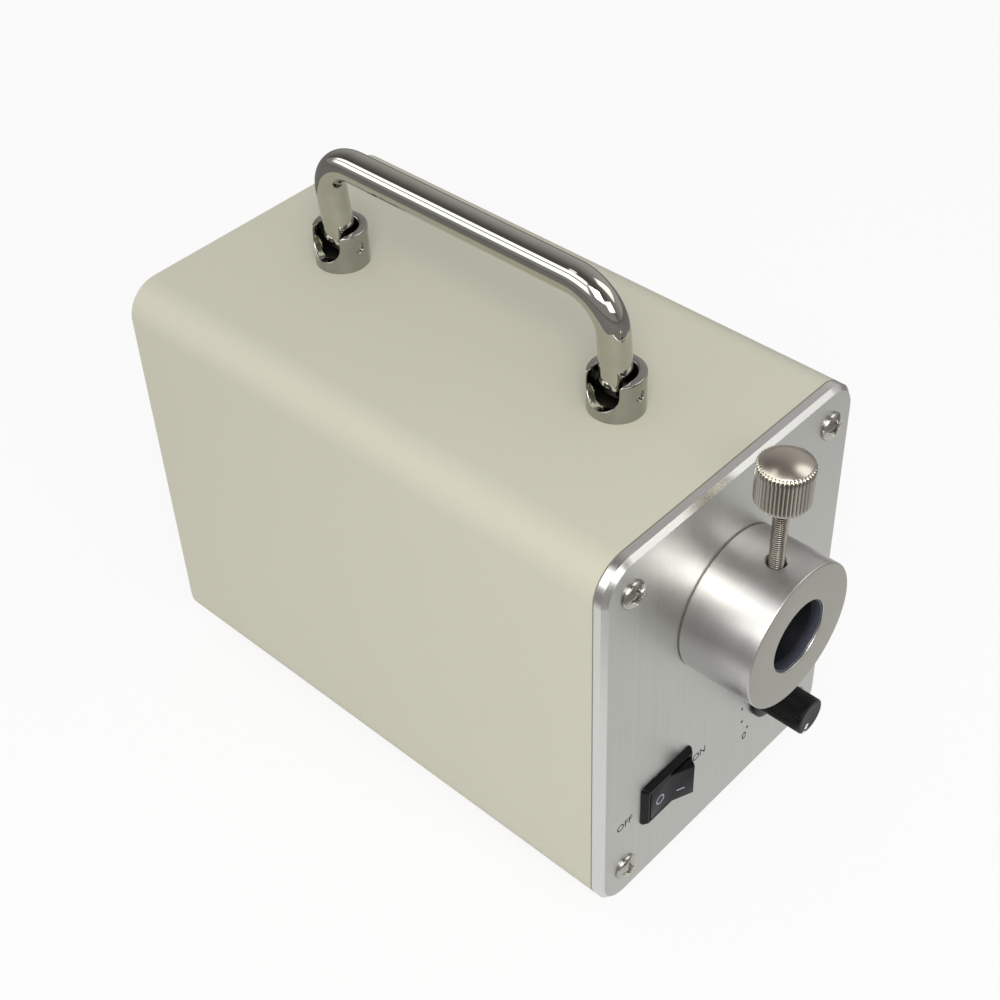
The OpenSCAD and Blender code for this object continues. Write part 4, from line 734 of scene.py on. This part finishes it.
def pan_head(radius, height, shank, length, steps=144):
    """A pan head over Z = 0 with a cross recess: over the radius the dome is the edge plus the rise times
    1 - (r/R)^2.6, less the recess, whose arms narrow and grow shallow outwards. The shank runs down from Z = 0."""
    t = np.linspace(0, TURN, steps, endpoint=False)
    r = radius * np.concatenate([np.linspace(0, 0.66, 30), np.linspace(0.69, 0.94, 8), [0.97, 0.99, 1.0]])[:, None]
    edge = 0.3 * height
    dome = edge + (height - edge) * (1 - (r / radius) ** 2.6) - 0.12 * height * ease(r, 0.95 * radius, radius)
    x, y = np.abs(r * np.cos(t)), np.abs(r * np.sin(t))
    along, aside = np.maximum(x, y), np.minimum(x, y)
    reach = 0.64 * radius
    half = 0.15 * radius * (1.3 - 0.5 * along / reach)
    arm = (1 - ease(aside, half * 0.75, half * 1.25)) * (1 - ease(along, 0.88 * reach, 1.04 * reach))
    well = 0.8 * height * (1.1 - 0.6 * along / reach)
    top = np.stack([r * np.cos(t), r * np.sin(t), dome - arm * well], -1)
    low = turned(rounded([(radius, edge * 0.72), (radius, 0), (shank, 0), (shank, -length), (0, -length)],
                         (0.12, 0, 0.3)), steps)
    return [surface(top), low]


def placed(parts, way, places):
    return [facing(part, way, place) for place in places for part in parts]


m4 = pan_head(4.0, 2.0, 2.0, 12)
build("front_panel_pan_screws", placed(m4, "front", [(x, PANEL_FACE, z) for x in CORNERS_X for z in CORNERS_Z]),
      finishes["screw_steel"], "housing", ["front_panel_screws"], 30)
build("rear_panel_pan_screws", placed(m4, "back", [(x, 171.5, z) for x in CORNERS_X for z in CORNERS_Z]),
      finishes["screw_steel"], "housing", ["rear_panel_screws"], 30)


# ---------------------------------------------------------------- thumb screw


def thumb_head():
    """A fluted, domed head: the radius of a turned profile less 0.225 (1 - cos 44 t), which fades on the dome and
    on the lower chamfer. The dome's height is its rise times 1 - (r/R)^2.2."""
    sides = rounded([(2.0, 0), (6.35, 0), (7.3, 1.0), (7.3, 11.5)], (0.25, 0.5))
    sides = np.vstack([sides, [(7.3, h) for h in (2.5, 5, 7.5, 10)]])
    sides = sides[np.lexsort((sides[:, 0], sides[:, 1]))]
    r = np.concatenate([np.linspace(7.22, 6.4, 6), np.linspace(6.2, 0, 22)])
    dome = np.stack([r, 11.55 + 2.95 * (1 - (r / 7.3) ** 2.2)], -1)
    profile = np.vstack([sides, dome])

    def flute(t, r, h):
        return 0.225 * (1 - np.cos(FLUTES * t)) * ease(r, 6.35, 7.1)

    return turned(profile, 8 * FLUTES, flute)


def thumb_thread(low, high, steps=36):
    """An M4 thread of 0.7 mm pitch: the radius at height z and angle t goes from root to crest and back as
    z / pitch - t / turn goes through 1, with small flats, and the thread runs out over the last turn."""
    root, crest = 1.56, 2.0
    t = np.linspace(0, TURN, steps, endpoint=False)
    z = np.linspace(low, high, int((high - low) / THREAD_PITCH * 10) + 1)[:, None]
    turn = (z / THREAD_PITCH - t / TURN) % 1
    tooth = np.clip(1.25 - np.abs(2 * turn - 1) * 1.5, 0, 1)
    radius = root + (crest - root) * tooth * ease(z, low - 0.1, low + 0.7) * (1 - ease(z, high - 1.2, high))
    skin = np.stack([radius * np.cos(t), radius * np.sin(t), z + 0 * t], -1)
    cap = turned([(root, low), (0, low)], steps)
    return [surface(skin), cap]


screw_parts = [facing(thumb_head(), "up", (0, THUMB_Y, HEAD_Z))]
screw_parts += [facing(p, "up", (0, THUMB_Y, 0)) for p in thumb_thread(THUMB_LOW + 1.2, HEAD_Z + 0.3)]
build("clamp_thumb_screw", screw_parts, finishes["thumb_steel"], "clamp_screw", ["thumb_screw"], 50)


# ---------------------------------------------------------------- dimmer knob and switch


def knob_surface():
    """A turned knob whose grip has 36 fine ribs: the radius less 0.09 (1 - cos 36 t) along the grip alone."""
    grip = 5.65
    skirt = [(3.0, 0.3), (7.85, 0.3), (7.85, 1.5)]
    profile = rounded(skirt + [(grip, 1.75), (grip, 14.7), (grip - 1.1, 14.95), (0, 14.7)],
                      (0.2, 0.25, 0.4, 0.35, 0.3), 5)
    extra = np.array([(grip, h) for h in (2.6, 4, 6, 8, 10, 12, 13.4)])
    at = np.where(profile[:, 1] > 3)[0][0]
    profile = np.vstack([profile[:at], extra, profile[at:]])

    def rib(t, r, h):
        return 0.09 * (1 - np.cos(36 * t)) * ease(h, 2.4, 3.0) * (1 - ease(h, 13.6, 14.2)) * (r < 6)

    return turned(profile, 288, rib)


build("dimmer_ribbed_knob", [facing(knob_surface(), "front", (DIMMER_X, PANEL_FACE, DIMMER_Z))],
      finishes["knob_plastic"], "dimmer", ["dimmer_knob"], 50)
softened("switch_rocker", finishes["switch_plastic"], "rocker", 0.25)


def slab(outline, thick, where):
    """A thin printed mark: an outline in its own plane, given a thickness, and set in place by a matrix."""
    outline = np.asarray(outline, float)
    count = len(outline)
    low = np.column_stack([outline, np.zeros(count)])
    high = np.column_stack([outline, np.full(count, thick)])
    points = np.vstack([low, high]) @ np.array(where.to_3x3()).T + np.array(where.translation)
    sides = [(i, (i + 1) % count, count + (i + 1) % count, count + i) for i in range(count)]
    return points, sides + [tuple(range(count - 1, -1, -1)), tuple(range(count, 2 * count))]


def mark(name, parts, finish, body):
    """One printed piece from several slabs."""
    points, faces, start = [], [], 0
    for p, f in parts:
        points.append(p)
        faces += [[i + start for i in face] for face in f]
        start += len(p)
    mesh = bpy.data.meshes.new(name)
    mesh.from_pydata(((np.vstack(points) + SLEEVE) * 0.001).tolist(), [], faces)
    return dress(name, mesh, finish, body, (), 30)


def facing_front(x, y, z, tilt=0.0):
    """The place of a mark on the front: its own X to the right, its Y up and its Z forward, tilted about Z up."""
    base = Matrix(((1, 0, 0), (0, 0, -1), (0, 1, 0))).to_4x4()
    return Matrix.Translation((x, y, z)) @ Matrix.Rotation(tilt, 4, "Z") @ base


def words(text, height, where):
    """Plain letters as a mesh of the given capital height, centred on their place."""
    curve = bpy.data.curves.new("letters", "FONT")
    curve.body = text
    curve.size = height / 0.73
    curve.extrude = INK_THICK / 2
    curve.offset = 0.012 * height
    curve.resolution_u = 4
    holder = bpy.data.objects.new("letters", curve)
    bpy.context.scene.collection.objects.link(holder)
    bpy.context.view_layer.update()
    mesh = bpy.data.meshes.new_from_object(holder)
    points = np.empty(len(mesh.vertices) * 3)
    mesh.vertices.foreach_get("co", points)
    points = points.reshape(-1, 3)
    faces = [tuple(p.vertices) for p in mesh.polygons]
    bpy.data.objects.remove(holder)
    points -= (points.max(0) + points.min(0)) / 2
    return points @ np.array(where.to_3x3()).T + np.array(where.translation), faces


def disc(radius, count=24):
    """The outline of a disc."""
    t = np.linspace(0, TURN, count, endpoint=False)
    return np.stack([radius * np.cos(t), radius * np.sin(t)], -1)


labels = [words("OFF", 2.7, facing_front(-40.6, INK_Y, 31.0)), words("ON", 2.7, facing_front(-8.4, INK_Y, 30.6))]
labels += [words("0", 3.0, facing_front(13.5, INK_Y, 18.6)), words("10", 3.0, facing_front(34.2, INK_Y, 18.6))]
for k in range(SCALE_DOTS):
    a = math.radians(225 - 270 * k / (SCALE_DOTS - 1))
    dot = facing_front(DIMMER_X + SCALE_R * math.cos(a), PANEL_FACE, DIMMER_Z + 1.0 + SCALE_R * math.sin(a))
    labels.append(slab(disc(DOT_R), INK_THICK, dot))
mark("panel_print", labels, finishes["ink"], "housing")


def ring(outer, inner, thick, where, steps=40):
    """A flat ring: a rectangle of radius and height turned about its own Z, set in place by a matrix."""
    points, faces = turned([(inner, 0), (outer, 0), (outer, thick), (inner, thick), (inner, 0)], steps)
    return points @ np.array(where.to_3x3()).T + np.array(where.translation), faces.tolist()


# The rocker's two half faces, pressed in on the left and raised on the right, about the pivot
PIVOT = Vector((SWITCH_X, -2.5, SWITCH_Z))
TILT = math.radians(11)


def on_rocker(u, v, side):
    """The place of a mark on one half of the rocker: u along it from the pivot, v up, side -1 left or 1 right."""
    base = Matrix(((1, 0, 0), (0, 0, -1), (0, 1, 0))).to_4x4()
    half = Matrix.Rotation(-TILT * side, 4, "Z") @ Matrix.Translation((u * side, 0, v)) @ base
    half = Matrix.Translation((0, -2.85, 0)) @ half
    return Matrix.Translation(PIVOT) @ Matrix.Rotation(-TILT, 4, "Z") @ half


off_mark = ring(1.7, 1.3, INK_THICK, on_rocker(3.9, -0.5, -1))
bar = np.array([(-1.25, -0.2), (1.25, -0.2), (1.25, 0.2), (-1.25, 0.2)])
on_mark = slab(bar, INK_THICK, on_rocker(3.6, -1.8, 1))
mark("rocker_print", [off_mark, on_mark], finishes["mark_ink"], "rocker")

pointer = np.array([(2.2, -0.6), (5.3, -0.75), (5.3, 0.75), (2.2, 0.6)])
spin = Matrix.Rotation(math.radians(240), 4, "Z")
face_place = facing_front(DIMMER_X, PANEL_FACE - 14.86, DIMMER_Z) @ spin
mark("knob_pointer", [slab(pointer, 2 * INK_THICK, face_place)], finishes["white_ink"], "dimmer")


# ---------------------------------------------------------------- stage, light and camera


def stage_floor():
    """A large pale floor under the feet, which shows white to the camera, keeps the object's shadow and turns quite
    white further out. What metal reflects of it is a pale sheet of paper round the object on a darker bench, with a
    painted shadow on it in front on the left."""
    f = Finish("floor")
    at = f.place()
    grain = f.noise(at, 3, 2)
    lit = f.node("ShaderNodeBsdfDiffuse", (), {"Color": f.blend(grain, (0.86, 0.86, 0.86), (0.88, 0.88, 0.88))})

    def near(x, y, inner, outer):
        """1 within the inner distance of a point of the floor, and 0 past the outer one."""
        gap = f.node("ShaderNodeVectorMath", {"operation": "DISTANCE"}, {0: at, 1: (x, y, 0)}, out="Value")
        return f.step(gap, inner, outer, 1.0, 0.0)

    sheet = f.blend(near(0.05, -0.03, 0.22, 0.27), (0.15, 0.145, 0.14), (0.76, 0.76, 0.75))
    # A painted shadow: a darker patch in front on the left, in what metal reflects of the floor
    sheet = f.blend(near(-0.11, -0.2, 0.02, 0.06), sheet, (0.3, 0.29, 0.29))
    path = f.node("ShaderNodeLightPath").socket.node
    eye = Value(f, path.outputs["Is Camera Ray"])
    seen = eye + Value(f, path.outputs["Is Glossy Ray"]) + Value(f, path.outputs["Is Transmission Ray"])
    white = f.node("ShaderNodeEmission", (), {"Color": f.blend(eye, sheet, (1, 1, 1)), "Strength": 1.0})
    share = seen * 0.85 + eye * (1 - near(0, 0, 0.4, 1.1)) * 0.15
    mixed = f.node("ShaderNodeMixShader", (), {0: share, 1: lit, 2: white})
    f.node("ShaderNodeOutputMaterial", (), {"Surface": mixed})
    mesh = bpy.data.meshes.new("floor")
    side = 8.0
    mesh.from_pydata([(-side, -side, 0), (side, -side, 0), (side, side, 0), (-side, side, 0)], [], [(0, 1, 2, 3)])
    mesh.materials.append(f.block)
    floor = bpy.data.objects.new("floor", mesh)
    bpy.context.scene.collection.objects.link(floor)


def studio():
    """A pale room that lights the object evenly, and white where the camera looks past it. What metal reflects of it
    is a ceiling that darkens to the left, a tall window behind on the left with a bar across it and a patch of light
    over it, a small window high in front on the right, and grey walls."""
    world = bpy.data.worlds.new("studio")
    bpy.context.scene.world = world
    f = Finish("studio", world)
    way = f.node("ShaderNodeTexCoord", out="Generated")
    x, y, z = f.split(way)

    def span(value, low, high, soft):
        """1 where a value lies between two bounds, with soft ends."""
        return f.step(value, low - soft, low + soft) * f.step(value, high - soft, high + soft, 1.0, 0.0)

    # The turn about Y from straight up to the left, in degrees, as the handle's bar reflects it
    tilt = f.maths("ARCTAN2", x * -1, z) * (180 / math.pi)
    ceiling = f.blend(span(x, 0.35, 2, 0.65), (0.11, 0.095, 0.09), (0.52, 0.50, 0.49))
    window = span(tilt, 27, 72, 3) * span(y, -0.15, 0.9, 0.06)
    bar = span(tilt, 43.5, 50, 1.5)
    left = f.blend(span(tilt, 27, 180, 4), ceiling, (0.34, 0.34, 0.33))
    room = f.blend(window, left, (2.4, 2.38, 2.3))
    room = f.blend(window * bar, room, (0.2, 0.2, 0.17))
    small = span(f.maths("ARCTAN2", y * -1, x) * (180 / math.pi), 20, 58, 2) * span(z, 0.42, 0.9, 0.03)
    room = f.blend(small, room, (1.9, 1.9, 1.86))
    patch = span(tilt, 14, 27, 3) * span(y, 0.24, 0.46, 0.03)
    room = f.blend(patch, room, (1.5, 1.5, 1.46))
    path = f.node("ShaderNodeLightPath").socket.node
    colour = f.blend(Value(f, path.outputs["Is Glossy Ray"]), (0.60, 0.60, 0.60), room)
    colour = f.blend(Value(f, path.outputs["Is Camera Ray"]), colour, (1, 1, 1))
    back = f.node("ShaderNodeBackground", (), {"Color": colour, "Strength": 1.0})
    f.node("ShaderNodeOutputWorld", (), {"Surface": back})


def lamp(name, place, target, size, power, colour=(1, 1, 1)):
    light = bpy.data.lights.new(name, "AREA")
    light.shape, light.size, light.size_y = "RECTANGLE", size[0], size[1]
    light.energy, light.color = power, colour
    holder = bpy.data.objects.new(name, light)
    bpy.context.scene.collection.objects.link(holder)
    holder.location = place
    holder.rotation_euler = (Vector(target) - Vector(place)).to_track_quat("-Z", "Y").to_euler()


stage_floor()
studio()
lamp("key_left", (-0.62, -0.6, 0.9), (0, 0, 0.1), (0.55, 0.55), 6.8, (1.0, 0.985, 0.95))
lamp("fill_front", (-0.25, -1.3, 0.75), (0, 0, 0.08), (0.8, 0.5), 2.8)

camera_data = bpy.data.cameras.new("camera")
camera_data.lens, camera_data.sensor_width, camera_data.sensor_fit = 62.483, 36.0, "HORIZONTAL"
camera_data.clip_start, camera_data.clip_end = 0.01, 50
camera = bpy.data.objects.new("camera", camera_data)
bpy.context.scene.collection.objects.link(camera)
azimuth, height, roll = (math.radians(v) for v in (-45.689, 42.626, -2.484))
back = Vector((math.sin(azimuth) * math.cos(height), -math.cos(azimuth) * math.cos(height), math.sin(height)))
right = Vector((0, 0, 1)).cross(back).normalized()
above = back.cross(right)
across = right * math.cos(roll) + above * math.sin(roll)
over = above * math.cos(roll) - right * math.sin(roll)
camera.matrix_world = Matrix((
    (across.x, over.x, back.x, -0.262967),
    (across.y, over.y, back.y, -0.254747),
    (across.z, over.z, back.z, 0.414073),
    (0, 0, 0, 1)))
bpy.context.scene.camera = camera
bpy.context.scene.view_settings.view_transform = "Standard"
